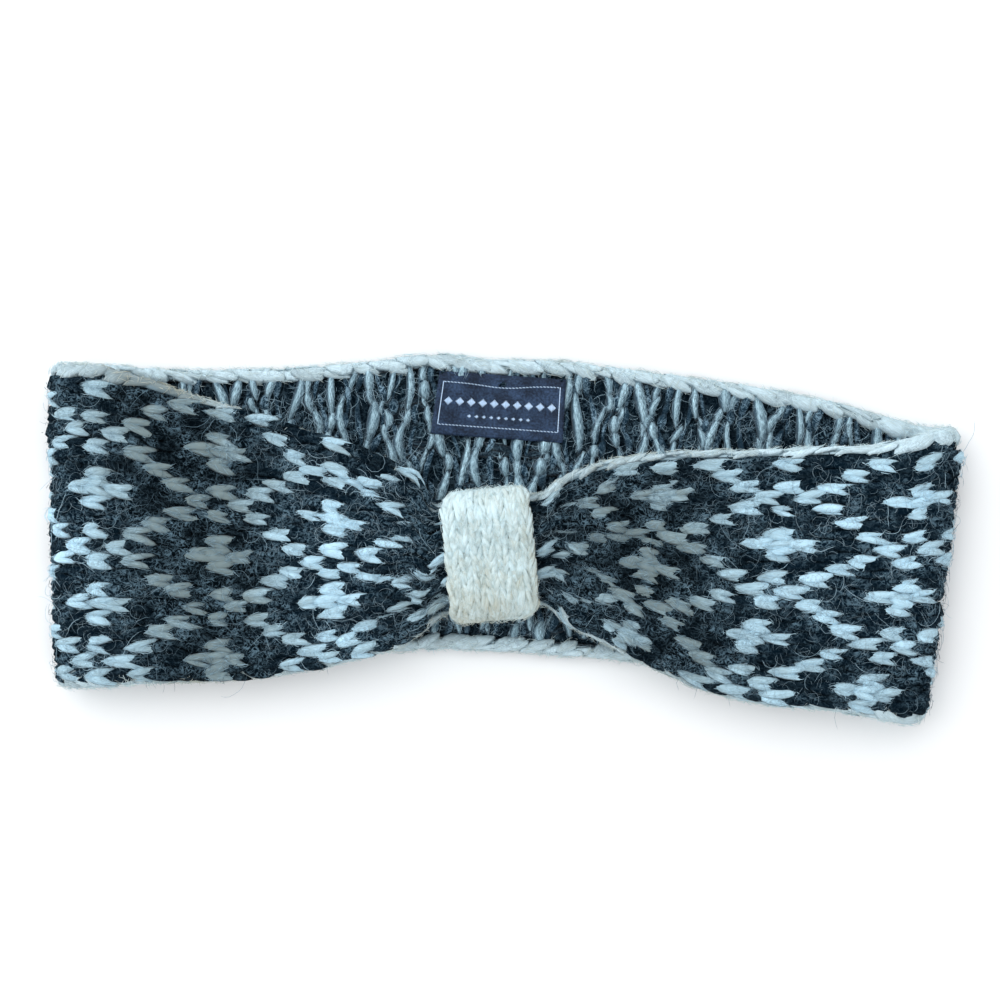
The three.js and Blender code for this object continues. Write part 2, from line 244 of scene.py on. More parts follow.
# Core, dim and hair colours, amount of hairs, sheen, relief, and, for some, the colour of the shade
# painted at the strand's sides and where its ragged edge starts.
WOOLS = {
    "dark_wool": ((4, 22, 34), (1, 8, 14), (106, 134, 150), 0.75, 0.0, 0.5),
    "white_wool": (
        (198, 235, 253), (122, 138, 140), (102, 130, 146), 0.6, 0.1, 0.6, DEEP_SHADE, 0.6
    ),
    "inside_dark": ((36, 60, 76), (2, 14, 24), (138, 170, 190), 1.0, 0.01, 0.5),
    "inside_white": (
        (206, 241, 255), (116, 146, 160), (34, 52, 66), 0.5, 0.1, 0.4, (58, 84, 100), 0.0
    ),
    "edging_wool": (
        (214, 238, 248), (128, 141, 142), GREY_HAIR, 0.5, 0.1, 0.5, (122, 144, 154), 0.7
    ),
    "edging_shade": ((196, 222, 233), (104, 126, 137), GREY_HAIR, 0.35, 0.1, 0.4, DEEP_SHADE, 0.45),
    "cream_wool": (
        (217, 241, 248), (182, 184, 168), (224, 243, 248), 0.4, 0.05, 0.5, (134, 130, 110), 0.7
    ),
    "light_fibre": ((142, 164, 176), (66, 86, 98), (166, 190, 204), 0.3, 0.0, 0.0),
    "white_fibre": ((202, 234, 249), (130, 158, 172), (210, 236, 248), 0.3, 0.0, 0.0),
    "pale_fibre": ((182, 212, 228), (96, 122, 136), (208, 232, 244), 0.3, 0.0, 0.0),
    "dark_fibre": ((10, 28, 40), (3, 12, 20), (40, 62, 78), 0.3, 0.0, 0.0),
    "cream_fibre": ((218, 241, 248), (190, 193, 180), (226, 244, 250), 0.3, 0.0, 0.0),
}
wools = {name: wool(name, *values) for name, values in WOOLS.items()}
print("wool finishes:", ", ".join(wools))

# %% [markdown]
# ## The shape of the loop
# Every stitch has to lie on the packed solid. So the lesson repeats the few sizes and tables that
# drive the solid, and works out the same faces: how the two layers run, how they fold, and how the
# front is drawn in under the wrap, with four pleats that fade out to each side.

# %% The sizes that drive the solid
LOOP_LENGTH = 255.0
BAND_WIDTH = 88.7
WALL = 4.0
LAYER_GAP = 8.0
RIGHT_LEAN = 9.6
LEFT_LEAN = 1.7
EDGING_WIDTH = 3.8
EDGING_HEIGHT = 3.6
EDGING_CURL = 1.6
WRAP_WIDTH = 25.0
WRAP_WALL = 2.8
WRAP_DOME = 0.7
WRAP_PLACE = (-4.2, -4.6)
WRAP_TILT = math.radians(5.5)
KNOT_WIDTH = 30.2
KNOT_THICKNESS = 9.6
KNOT_CLEARANCE = 0.4
HELD_MARGIN = 0.8
SPLAY_LENGTH = 7.0
GATHER_LENGTH = 58.0
PLEAT_INSIDE = 0.5
print("thickness of the folded loop, in mm:", 2 * WALL + LAYER_GAP)

# %% The outlines and the pleats
# Columns: place from the left fold to the right one, upper edge, lower edge, rise of the layer.
FRONT_OUTLINE = np.array(
    [
        (-1.0, 0.535, -0.46, 0),
        (-0.94, 0.53, -0.457, 0.02),
        (-0.88, 0.508, -0.451, 0.02),
        (-0.77, 0.463, -0.447, -0.03),
        (-0.66, 0.416, -0.443, -0.06),
        (-0.55, 0.368, -0.431, -0.05),
        (-0.44, 0.319, -0.409, 0),
        (-0.33, 0.269, -0.378, 0.03),
        (-0.22, 0.207, -0.334, 0.02),
        (-0.135, 0.16, -0.277, 0),
        (0.07, 0.14, -0.226, 0),
        (0.12, 0.176, -0.238, 0),
        (0.2, 0.225, -0.279, 0),
        (0.3, 0.253, -0.34, -0.04),
        (0.42, 0.266, -0.418, -0.04),
        (0.53, 0.272, -0.48, 0.01),
        (0.64, 0.275, -0.512, 0.03),
        (0.75, 0.28, -0.526, 0.02),
        (0.86, 0.288, -0.542, 0.02),
        (0.94, 0.303, -0.556, 0),
        (1.0, 0.327, -0.568, 0),
    ]
)
BACK_OUTLINE = np.array(
    [
        (-1.0, 0.54, -0.455),
        (-0.88, 0.532, -0.427),
        (-0.66, 0.524, -0.388),
        (-0.44, 0.536, -0.364),
        (-0.22, 0.565, -0.35),
        (-0.13, 0.573, -0.348),
        (-0.04, 0.56, -0.352),
        (0.1, 0.556, -0.361),
        (0.25, 0.532, -0.374),
        (0.42, 0.505, -0.4),
        (0.55, 0.479, -0.427),
        (0.7, 0.445, -0.461),
        (0.86, 0.389, -0.508),
        (0.94, 0.355, -0.54),
        (1.0, 0.34, -0.566),
    ]
)
# Columns: place across, depth, spread, reach to the left, reach to the right.
PLEATS = (
    (0.17, 0.5, 0.06, 0.75, 0.6),
    (0.38, 0.62, 0.055, 0.95, 0.8),
    (0.6, 0.58, 0.055, 0.7, 1.0),
    (0.82, 0.48, 0.06, 1.0, 0.7),
)

wrap_low, wrap_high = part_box("wrap")
wrap_middle = np.array((wrap_low + wrap_high) / 2) / METRES
TO_FRAME_Y = wrap_middle[1] - WRAP_PLACE[1]
print("the packed model's shift in Y, in mm:", round(TO_FRAME_Y, 3))


# %% Smooth steps and tables
def smooth(value, low, high):
    """0 below low, 1 above high, and a smooth rise between them."""
    t = np.clip((value - low) / (high - low), 0, 1)
    return t * t * (3 - 2 * t)


def blend(one, other, share):
    return one + (other - one) * share


def column(rows, index):
    """One column of an outline table as a smooth function of the place along the loop."""
    places = rows[:, 0]
    values = rows[:, index]
    last = len(rows) - 1

    def value_at(at):
        i = np.clip(np.searchsorted(places, at) - 1, 0, last - 1)
        before = np.maximum(i - 1, 0)
        after = np.minimum(i + 2, last)
        step = places[i + 1] - places[i]
        t = np.clip((at - places[i]) / step, 0, 1)
        slope_from = (values[i + 1] - values[before]) / (places[i + 1] - places[before]) * step
        slope_to = (values[after] - values[i]) / (places[after] - places[i]) * step
        flat = blend(values[i], values[i + 1], smooth(t, 0, 1))
        return flat + slope_from * t * (1 - t) ** 2 - slope_to * t * t * (1 - t)

    return value_at


print("halfway up a smooth step:", float(smooth(1.0, 0.0, 2.0)))

# %% The layers' middles and edges
front_upper, front_lower, front_rise = (column(FRONT_OUTLINE, k) for k in (1, 2, 3))
back_upper, back_lower = (column(BACK_OUTLINE, k) for k in (1, 2))

fold_radius = (LAYER_GAP + WALL) / 2
fold_centre_z = WALL / 2 + fold_radius
fold_inset = fold_radius + WALL / 2
knot_middle_z = wrap_middle[2]
held_half = WRAP_WIDTH / 2 + HELD_MARGIN


def place_x(at, across):
    left = -LOOP_LENGTH / 2 + LEFT_LEAN * (1 - across) + fold_inset
    right = LOOP_LENGTH / 2 - RIGHT_LEAN * (1 - across) - fold_inset
    return blend(left, right, (at + 1) / 2)


def gathered(at, across, length):
    """1 in the wrap, falling to 0 over a length outside it."""
    shift = (across - 0.5) * KNOT_WIDTH * math.sin(WRAP_TILT)
    away = np.abs(place_x(at, across) - WRAP_PLACE[0] + shift) - held_half
    return 1 - smooth(away, 0, length)


def front_edge(at, own, across):
    """A long edge of the front: its own outline, drawn in to the knot's width in the wrap."""
    lean = (place_x(at, across) - WRAP_PLACE[0]) * math.tan(WRAP_TILT)
    held = WRAP_PLACE[1] + lean + (across - 0.5) * KNOT_WIDTH
    return blend(own(at) * BAND_WIDTH, held, gathered(at, across, SPLAY_LENGTH))


front_run = place_x(1, 0.5) - place_x(-1, 0.5)
fold_run = math.pi * fold_radius
loop_run = 2 * (front_run + fold_run)
print("the loop's length along its middle, in mm:", round(loop_run, 1))


# %% Places round the loop
def place_on_loop(run):
    """Share of the half length, and the fold's turn: 0 on the front, pi on the back."""
    run = np.mod(run, loop_run)
    right = front_run + fold_run
    back = right + front_run
    on_front = run < front_run
    on_right = (run >= front_run) & (run < right)
    on_back = (run >= right) & (run < back)
    at = np.where(on_front, 2 * run / front_run - 1, 1.0)
    at = np.where(on_back, 1 - 2 * (run - right) / front_run, at)
    at = np.where(run >= back, -1.0, at)
    turn = np.where(on_right, math.pi * (run - front_run) / fold_run, 0.0)
    turn = np.where(on_back, math.pi, turn)
    turn = np.where(run >= back, math.pi * (1 - (run - back) / fold_run), turn)
    return at, turn


def edge_table(across):
    """A long edge's Y at even steps round the loop, and how much its slant widens an inset."""
    at, turn = place_on_loop(RUNS)
    own_front, own_back = (front_upper, back_upper) if across else (front_lower, back_lower)
    on_front = front_edge(at, own_front, across)
    on_fold = BAND_WIDTH * blend(own_front(at), own_back(at), turn / math.pi)
    edge = np.where(turn == 0, on_front, on_fold)
    x = place_x(at, across) + np.sign(at) * fold_radius * np.sin(turn)
    z = fold_radius * np.cos(turn)
    reach = np.hypot(np.roll(x, -2) - np.roll(x, 2), np.roll(z, -2) - np.roll(z, 2))
    slant = np.hypot(1, (np.roll(edge, -2) - np.roll(edge, 2)) / reach)
    return edge, slant


RUNS = np.arange(0, loop_run, 0.5)
EDGES = {0: edge_table(0), 1: edge_table(1)}


def edge_at(run, across, inset):
    """The Y of a line at an inset from a long edge, 0 for the lower edge and 1 for the upper."""
    edge, slant = (np.interp(np.mod(run, loop_run), RUNS, table) for table in EDGES[across])
    return edge + inset * slant * (-1 if across else 1)


print("edge places:", len(RUNS))

# %% [markdown]
# ## The knit's own grid
# A stitch is placed by its course, counted round the loop, and its wale, counted from the upper
# edge. The courses lie where the photograph's pattern repeats say. Near the wrap the fabric is
# wider than the place it is drawn into, so each pleat swallows a few wales.

# %% Courses and wales
COURSES = 96
WALES = 22
FRONT_COURSES = (0, 6, 12, 18, 24, 30, 36, 42)
FRONT_COURSE_X = (-113.6, -79.6, -48.5, -18.6, 11.0, 40.0, 74.4, 111.2)
LEFT_FOLD_COURSE = 90  # the courses from here on lie close together round the left fold
LEFT_FOLD_RUN = 25.5  # mm that they take up
PLEAT_SWALLOWS = 0.11  # share of the wales that one pleat hides
PLEAT_REACH = 0.17  # share of the wales over which it hides them
PLEAT_DEEPER = 1.25  # the yarn's valleys against the solid's

anchor_runs = [x - place_x(-1, 0.5) for x in FRONT_COURSE_X]
anchor_runs.append(anchor_runs[0] + loop_run)
anchor_runs.insert(-1, anchor_runs[-1] - LEFT_FOLD_RUN)
anchor_courses = [*FRONT_COURSES, LEFT_FOLD_COURSE, COURSES]


def run_of(course):
    laps = np.floor(course / COURSES)
    return laps * loop_run + np.interp(course - laps * COURSES, anchor_courses, anchor_runs)


def pleat_strengths(at, turn):
    on_left = place_x(at, 0.5) < WRAP_PLACE[0]
    for _, _, _, left, right in PLEATS:
        length = GATHER_LENGTH * np.where(on_left, left, right)
        yield gathered(at, 0.5, length) * (turn == 0)


def settle(course, wale):
    """Where a wale comes to lie, as a share from the lower edge to the upper one."""
    at, turn = place_on_loop(run_of(course))
    share = 1 - (wale - 0.5) / (WALES - 1)
    strengths = [PLEAT_SWALLOWS * strength for strength in pleat_strengths(at, turn)]
    total = sum(strengths)
    before = 0
    taken = 0
    for pleat, strength in zip(PLEATS, strengths):
        centre = pleat[0] * (1 - total) + before + strength / 2
        taken = taken + strength * smooth(share, centre - PLEAT_REACH / 2, centre + PLEAT_REACH / 2)
        before = before + strength
    return (share - taken) / (1 - total)


LEAN_COURSES = 1.6
LEAN_FADE = 40.0  # mm past the right fold


def leaned(course, share):
    """On the right half the courses lean over to the left towards the lower edge."""
    run = np.mod(run_of(course), loop_run)
    at, _ = place_on_loop(run)
    fold_end = front_run + fold_run
    strength = smooth(at, 0.0, 0.55) * (1 - smooth(run, fold_end, fold_end + LEAN_FADE))
    return course - LEAN_COURSES * strength * np.clip(1 - share, 0, 1.1) ** 2.5


print("course 21 lies at X", round(float(run_of(21.0) + place_x(-1, 0.5)), 1), "mm")


# %% Unevenness and insets
def ripple(x, y, length, seed):
    """Smooth unevenness between about -1 and 1."""
    total = 0
    for heading, phase in np.random.default_rng(seed).uniform(0, 2 * math.pi, (5, 2)):
        reach = (x * math.cos(heading) + y * math.sin(heading)) * 2 * math.pi / length
        total = total + np.sin(reach + phase)
    return total * 0.35


# Columns: run round the loop in mm, inset at the upper edge, inset at the lower edge.
OUTER_INSETS = np.array(
    [
        (0.0, 3.4, 1.0),
        (12.0, 3.6, 0.6),
        (24.0, 2.4, 0.4),
        (40.0, 0.4, 0.4),
        (52.0, -0.9, 0.4),
        (104.0, -0.9, 0.4),
        (130.0, 2.0, 0.6),
        (150.0, 2.2, 0.5),
        (200.0, 2.2, 0.7),
        (214.0, 3.4, 0.9),
        (228.0, 5.8, 1.5),
        (250.0, 6.0, 1.4),
        (272.0, 0.9, 0.9),
        (466.0, 0.9, 0.9),
        (486.0, 2.8, 1.2),
        (loop_run, 3.4, 1.0),
    ]
)


def outer_inset(run, upper):
    """How far the patterned stitches stay inside the outline of a long edge."""
    return np.interp(np.mod(run, loop_run), OUTER_INSETS[:, 0], OUTER_INSETS[:, 1 if upper else 2])


print("insets at the edges, in mm:", OUTER_INSETS[:, 1:].min(), "to", OUTER_INSETS[:, 1:].max())

# %% The faces of the knit
LIP_DEPTH = 0.9  # mm by which the outermost stitches curl down
LIP_ENDS = (0.6, 3.4)  # mm from the edge between which they do
SLACK_HEIGHT = 0.45  # mm by which a loose layer rises and sinks
SLACK_LENGTH = 48.0
WOBBLE_LENGTH = 17.0  # mm over which hand-worked stitches drift to and fro


def raised_over(at, turn, across, y, height):
    """X and Z at a height over the layer's middle, and the X and Z of the outward direction."""
    out_x = np.sign(at) * np.sin(turn)
    out_z = np.cos(turn)
    on_top = turn == 0
    bunched = gathered(at, across, SPLAY_LENGTH) * on_top
    own_z = fold_centre_z + fold_radius * out_z + front_rise(at) * LAYER_GAP * on_top
    x = place_x(at, across) + (fold_radius + height) * out_x
    z = blend(own_z, knot_middle_z, bunched) + out_z * height
    loose = on_top * (1 - gathered(at, across, 3 * SPLAY_LENGTH))
    return x, z + SLACK_HEIGHT * loose * ripple(x, y, SLACK_LENGTH, 3), out_x, out_z


def face(course, across, height, side=1, inset=None):
    """Points over the outer face, where side is 1, or the inner one, and their normals."""
    run = run_of(course)
    at, turn = place_on_loop(run)
    low_inset = outer_inset(run, False) if inset is None else inset
    high_inset = outer_inset(run, True) if inset is None else inset
    low = edge_at(run, 0, low_inset)
    high = edge_at(run, 1, high_inset)
    y = blend(low, high, across)
    bunched = gathered(at, across, SPLAY_LENGTH) * (turn == 0)
    swell = 1 - (2 * across - 1) ** 4
    half = blend(WALL, KNOT_THICKNESS, bunched * swell) / 2
    valley = 0
    for pleat, strength in zip(PLEATS, pleat_strengths(at, turn)):
        valley = valley + pleat[1] * strength * np.exp(-(((across - pleat[0]) / pleat[2]) ** 2))
    valley = valley * WALL
    from_low = low_inset + across * (high - low)
    from_high = high_inset + (1 - across) * (high - low)
    from_edge = np.minimum(from_low, from_high)
    if side > 0:
        lip = LIP_DEPTH * (1 - smooth(from_edge, *LIP_ENDS))
        raised = half - PLEAT_DEEPER * valley - lip + height
    else:
        raised = -half - PLEAT_INSIDE * (1 - bunched) * valley - height
    x, z, out_x, out_z = raised_over(at, turn, across, y, raised)
    x = x + 0.3 * ripple(x, y + z, WOBBLE_LENGTH, 4)
    y = y + 0.35 * ripple(x + z, y, WOBBLE_LENGTH, 5) * smooth(from_edge, 0, 8)
    normal = np.stack([out_x, 0 * out_x, out_z], -1)
    return np.stack([x, y + TO_FRAME_Y, z], -1), normal * side


middle_point = face(np.array([21.0]), np.array([0.5]), 0.0)[0][0]
print("the middle of course 21 lies at", middle_point.round(1).tolist(), "mm")


# %% [markdown]
# ## Yarn as geometry
# A strand of yarn could be a curve object with a bevel. Thousands of those are slow, and they
# can't thin out to a point, so each strand is a little tube of its own mesh: rings of vertices
# round a path, closed by a point at both ends. One mesh holds all the strands of one yarn.


# %% Tubes along paths
def spline(rows, count):
    """Values at even steps along a smooth curve through the rows."""
    rows = np.asarray(rows, float)
    t = np.linspace(0, len(rows) - 1, count)
    i = np.minimum(t.astype(int), len(rows) - 2)
    f = (t - i)[:, None]
    a, b, c, d = (rows[np.clip(i + k, 0, len(rows) - 1)] for k in (-1, 0, 1, 2))
    return b + 0.5 * f * (c - a + f * (2 * a - 5 * b + 4 * c - d + f * (3 * (b - c) + d - a)))


def unit(vectors):
    return vectors / np.maximum(np.linalg.norm(vectors, axis=-1, keepdims=True), 1e-9)


def tube_points(paths, radii, normals, sides, flat):
    """Rings of points round paths of shape (strands, steps, 3), first and last step left out."""
    ahead = unit(np.gradient(paths, axis=1))
    beside = unit(np.cross(ahead, normals))
    above = np.cross(beside, ahead)
    angles = np.arange(sides) * 2 * math.pi / sides
    circle = (
        beside[:, :, None] * np.cos(angles)[:, None]
        + above[:, :, None] * np.sin(angles)[:, None] * flat
    )
    rings = paths[:, :, None] + circle * radii[:, :, None, None]
    return rings[:, 1:-1]


print("5 steps through 3 rows:", spline([(0,), (1,), (0,)], 5).ravel().round(2).tolist())


# %% The faces of the tubes
def tube_faces(strands, steps, sides):
    """Quads between rings and triangles to the two end points of each strand."""
    rings = steps - 2
    size = rings * sides + 2
    j = np.arange(sides)
    k = (j + 1) % sides
    ring = np.arange(rings - 1)[:, None] * sides
    quads = np.stack([ring + j, ring + k, ring + k + sides, ring + j + sides], -1).reshape(-1, 4)
    last = (rings - 1) * sides
    start = np.stack([np.full(sides, size - 2), k, j], -1)
    end = np.stack([np.full(sides, size - 1), last + j, last + k], -1)
    offsets = (np.arange(strands) * size)[:, None, None]
    return quads[None] + offsets, np.concatenate([start, end])[None] + offsets


def tube_places(steps, sides):
    """Each face corner's share along and round its strand: quads first, then end triangles."""
    rings = steps - 2
    j = np.arange(sides)
    row = np.arange(1, rings)[:, None] + 0 * j
    around = j + 0 * row
    quad_u = np.stack([row, row, row + 1, row + 1], -1) / (steps - 1)
    quad_v = np.stack([around, around + 1, around + 1, around], -1) / sides
    first = np.stack([0 * j, 0 * j + 1, 0 * j + 1], -1) / (steps - 1)
    last = np.stack([0 * j + steps - 1, 0 * j + rings, 0 * j + rings], -1) / (steps - 1)
    first_v = np.stack([j + 0.5, j + 1, j], -1) / sides
    last_v = np.stack([j + 0.5, j, j + 1], -1) / sides
    quads = np.stack([quad_u, quad_v], -1).reshape(-1, 4, 2)
    ends = np.stack([np.concatenate([first, last]), np.concatenate([first_v, last_v])], -1)
    return quads, ends


print("quads of a strand with 9 steps and 6 sides:", tube_faces(1, 9, 6)[0].shape[1])


# %% Painted shade and highlights on the front
# Painted shade where the front sags into valleys, partly dark fibres felted over the white, and,
# below 0, painted highlights on its brightest stretches: X, Y, size in mm, amount.
WEAR_AND_SHADE_SPOTS = (
    (-88.0, 14.0, 22.0, 0.85),
    (-82.0, -12.0, 19.0, 0.75),
    (-80.0, -36.0, 14.0, 0.5),
    (-98.0, 43.0, 15.0, 0.6),
    (-44.0, 0.0, 26.0, -0.45),
    (-35.0, 24.0, 12.0, 0.4),
    (-19.0, -21.0, 13.0, 0.5),
    (36.0, -4.0, 22.0, 0.85),
    (50.0, -32.0, 13.0, 0.5),
    (-124.0, 0.0, 22.0, -0.4),
    (98.0, 2.0, 28.0, -0.35),
    (-2.0, -23.0, 10.0, 0.18),
)


UPPER_FACE = (7, 11)  # mm of height between which a point comes to count as on the front
TABLE_GAP = 0.03  # mm that the lowest yarn keeps from the table


def wear_and_shade_at(points):
    total = np.zeros(len(points))
    for x, y, size, amount in WEAR_AND_SHADE_SPOTS:
        away = np.hypot(points[:, 0] - x, points[:, 1] - y) / size
        total += amount * np.exp(-(away**2)) * smooth(points[:, 2], *UPPER_FACE)
    return total


print("worn spots:", len(WEAR_AND_SHADE_SPOTS))


# %% Meshes that carry their yarn's coordinates
def fill_mesh(name, points, faces, yarn_uv, bake_uv, strand, rim, material):
    """A mesh object in metres, with its yarn coordinates, the strand's random number and rim,
    which is 0 on top of a strand and rises to 1 at its sides, where the finish paints shade."""
    mesh = bpy.data.meshes.new(name)
    above_table = points * METRES
    above_table[:, 2] = np.maximum(above_table[:, 2], TABLE_GAP * METRES)
    mesh.from_pydata(above_table, [], faces, shade_flat=False)
    for layer, places in (("Yarn", yarn_uv), ("OFBake", bake_uv)):
        mesh.uv_layers.new(name=layer).uv.foreach_set("vector", places.astype(np.float32).ravel())
    mesh.uv_layers["Yarn"].active_render = True
    for label, values in (("strand", strand), ("wear_and_shade", wear_and_shade_at(points)), ("rim", rim)):
        mesh.attributes.new(label, "FLOAT", "POINT").data.foreach_set("value", values)
    mesh.materials.append(material)
    piece = bpy.data.objects.new(name, mesh)
    bpy.context.collection.objects.link(piece)
    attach(piece, "root")
    return piece


print("lowest point of any yarn, in mm:", TABLE_GAP)

# %% A piece made of strands
TIP_RIM = 0.6  # how much more of the rim's shade a strand's tips get
BAKE_MARGIN = 0.04  # share of a strand's cell in the bake's map that stays empty


def yarn_piece(name, strands, sides, material, flat=1.0, rimmed=1.0):
    """One mesh from strands of equal step count: paths, radii and normals.
    rimmed says how much of the rim's shade each strand shows."""
    paths, radii, normals = strands
    count, steps = radii.shape
    rings = tube_points(paths, radii, normals, sides, flat).reshape(count, -1, 3)
    points = np.concatenate([rings, paths[:, :1], paths[:, -1:]], axis=1)
    quads, ends = tube_faces(count, steps, sides)
    quad_places, end_places = tube_places(steps, sides)
    lengths = np.linalg.norm(np.diff(paths, axis=1), axis=2).sum(axis=1)
    around = 2 * math.pi * radii.max(axis=1)
    scale = np.stack([lengths, around], -1)[:, None, None]
    shift = np.random.default_rng(count).uniform(0, 50, (count, 1, 1, 2))
    cells = math.ceil(math.sqrt(count))
    corner = np.stack(np.divmod(np.arange(count), cells), -1)[:, None, None]
    yarn_uv = []
    bake_uv = []
    for places in (quad_places, end_places):
        yarn_uv.append((places[None] * scale + shift).reshape(-1, 2))
        inside = corner + BAKE_MARGIN + places[None] * (1 - 2 * BAKE_MARGIN)
        bake_uv.append((inside / cells).reshape(-1, 2))
    faces = quads.reshape(-1, 4).tolist() + ends.reshape(-1, 3).tolist()
    strand = np.repeat(np.random.default_rng(count + 1).uniform(0, 1, count), points.shape[1])
    # The rim marks where the finish paints shade: down a strand's sides, and at its tips where it
    # dives under.
    off_top = 1 - np.sin(np.arange(sides) * 2 * math.pi / sides)
    off_middle = np.linspace(-1, 1, steps)[1:-1, None] ** 6
    rim = np.append((off_top + TIP_RIM * off_middle).ravel(), (1 + TIP_RIM, 1 + TIP_RIM))
    piece = fill_mesh(
        name,
        points.reshape(-1, 3),
        faces,
        np.concatenate(yarn_uv),
        np.concatenate(bake_uv),
        strand,
        (np.tile(rim, (count, 1)) * rimmed).ravel(),
        material,
    )
    triangles = count * (2 * sides * (steps - 3) + 2 * sides)
    print(f"{name}: {count} strands, {triangles} triangles")
    return piece


# %% [markdown]
# ## The felted wall behind the stitches
# Between the strands of real knitting one sees more wool, in shadow. A plane that a modifier
# thickens could stand for it, but rings of points round the loop give both faces at their own
# depths. This thin dark shell is the cloth itself.


# %% A closed shell from rings of points
def shell(name, rings, material, rim=0.0):
    """A closed body from rings of points that follow one another round a loop."""
    count, size, _ = rings.shape
    i = np.arange(count)[:, None]
    j = np.arange(size)
    after = (i + 1) % count
    beside = (j + 1) % size
    a, b = i * size + j, i * size + beside
    c, d = after * size + beside, after * size + j
    faces = np.stack([a, d, c, b], -1).reshape(-1, 4)
    u = np.stack([i + 0 * j, i + 1 + 0 * j, i + 1 + 0 * j, i + 0 * j], -1)
    v = np.stack([j + 0 * i, j + 0 * i, j + 1 + 0 * i, j + 1 + 0 * i], -1)
    places = np.stack([u / count, v / size], -1).reshape(-1, 2)
    along = np.linalg.norm(np.diff(rings[:, 0], axis=0), axis=1).sum()
    across = np.linalg.norm(np.diff(rings[0], axis=0), axis=1).sum()
    points = rings.reshape(-1, 3).copy()
    strand = np.full(len(points), 0.5)
    rims = (np.zeros((count, size)) + rim).ravel()
    piece = fill_mesh(
        name, points, faces.tolist(), places * (along, across), places, strand, rims, material
    )
    print(f"{name}: {2 * len(faces)} triangles")
    return piece


WALL_COURSES = np.linspace(0, COURSES, 216, endpoint=False)
WALL_ACROSS = np.linspace(0, 1, 29)
OUTER_DEPTH = 1.35
INNER_DEPTH = 0.9
OUTER_WALL_INSET = 1.7
INNER_WALL_INSET = EDGING_WIDTH + 0.5


def felted_wall():
    course = WALL_COURSES[:, None] + 0 * WALL_ACROSS
    across = WALL_ACROSS + 0 * course
    outer, _ = face(course, across, -OUTER_DEPTH, 1, OUTER_WALL_INSET)
    inner, _ = face(course, across, -INNER_DEPTH, -1, INNER_WALL_INSET)
    return np.concatenate([outer, inner[:, ::-1]], axis=1)


band_wall = shell("band_felt", felted_wall(), wools["dark_wool"])
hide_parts("band")

# %% [markdown]
# ## The pattern
# It is a traditional stranded pattern that repeats every 12 courses and 8 wales: diamonds with
# small crosses between them. It could be a picture laid over the band, but then the colours would
# not follow the yarn. A rule says which stitch is white, counted from a repeat's middle.


# %% Which stitch is white
def is_white(course, wale):
    r = np.abs((course + 6) % 12 - 6)
    w = np.abs(wale % 8 - 4)
    outline = (r == w + 1) | ((r == 0) & (w == 1)) | ((r == 6) & (w == 3))
    cross = ((w == 4) & (r <= 1)) | ((w == 3) & (r == 0))
    other_cross = ((w == 0) & (r >= 5)) | ((w == 1) & (r == 6))
    return outline | cross | other_cross


chart_courses, chart_wales = (
    grid.ravel() for grid in np.meshgrid(np.arange(COURSES), np.arange(1, WALES), indexing="ij")
)
white = is_white(chart_courses, chart_wales)
print("white stitches:", int(white.sum()), "of", len(white))

# %% [markdown]
# ## The stitches
# A knit stitch shows as two plump legs that lean together into a V. Here the V's lie on their
# side, with the point to the left. A bumpy surface could hint at them, but only real legs overlap
# and shade one another. Each leg starts deep in the fabric, swells, lies on the face and dives
# under the next stitch.

# %% The legs of the stitches
# Columns: along in courses, across in wales, depth below the face and radius in mm.
LEG = (
    (-0.30, 0.02, 1.7, 0.25),
    (-0.04, 0.05, 0.9, 0.68),
    (0.30, 0.14, 0.62, 1.15),
    (0.72, 0.24, 0.56, 1.3),
    (1.15, 0.37, 0.8, 0.95),
    (1.66, 0.52, 1.7, 0.25),
)

LAST_FRONT_COURSE = 43
BACK_COURSES = (46, 92)
HIDDEN_MARGIN = 5  # mm inside the wrap's rims from which the stitches are left out
SINK_LENGTH = 24.0  # mm from the wrap over which some white stitches sink in
GATHERED_SINK = 2.6  # mm by which they do
SLIM_LENGTH = 30.0  # mm from the wrap over which the stitches are pressed thinner
FLAT_LEG = 0.72  # height of a leg's section as a share of its width


def in_wrap(course):
    """True for courses that the wrap hides."""
    at, turn = place_on_loop(run_of(course))
    return (turn == 0) & (np.abs(place_x(at, 0.5) - WRAP_PLACE[0]) < WRAP_WIDTH / 2 - HIDDEN_MARGIN)


def legs(courses, wales, steps, deeper, sink, seed):
    """Paths, radii and normals of both legs of each stitch. Near the wrap some sink deeper."""
    draw = np.random.default_rng(seed)
    shape = spline(LEG, steps)
    course = np.repeat(courses, 2)[:, None]
    wale = np.repeat(wales, 2)[:, None]
    side = np.tile((-1.0, 1.0), len(courses))[:, None]
    count = len(course)
    own = np.repeat(draw.normal(0, 1, (len(courses), 4)), 2, axis=0)
    stretch = 1 + 0.09 * own[:, :1] + draw.normal(0, 0.07, (count, 1))
    shift = 0.08 * own[:, 1:2] + draw.normal(0, 0.06, (count, 1))
    lean = 0.05 * own[:, 2:3] + draw.normal(0, 0.04, (count, 1))
    turn = 0.07 * own[:, 3:4] * shape[:, 0]
    along = course - 0.5 + shape[:, 0] * stretch + shift
    beside = wale + side * shape[:, 1] * draw.normal(0.97, 0.1, (count, 1)) + lean + turn
    at, _ = place_on_loop(run_of(course))
    sunk = sink * gathered(at, 0.5, SINK_LENGTH) * np.clip(own[:, :1] + 0.5, 0, 1.2)
    depth = shape[:, 2] + deeper + sunk + draw.normal(0, 0.15, (count, 1))
    slim = 1 - 0.3 * gathered(at, 0.5, SLIM_LENGTH) * (course < LAST_FRONT_COURSE)
    radii = shape[:, 3] * np.clip(draw.normal(1, 0.16, (count, 1)), 0.6, 1.35) * slim
    along = leaned(along, settle(along, beside))
    paths, normals = face(along, settle(along, beside), -depth)
    return paths, radii + 0 * along, normals


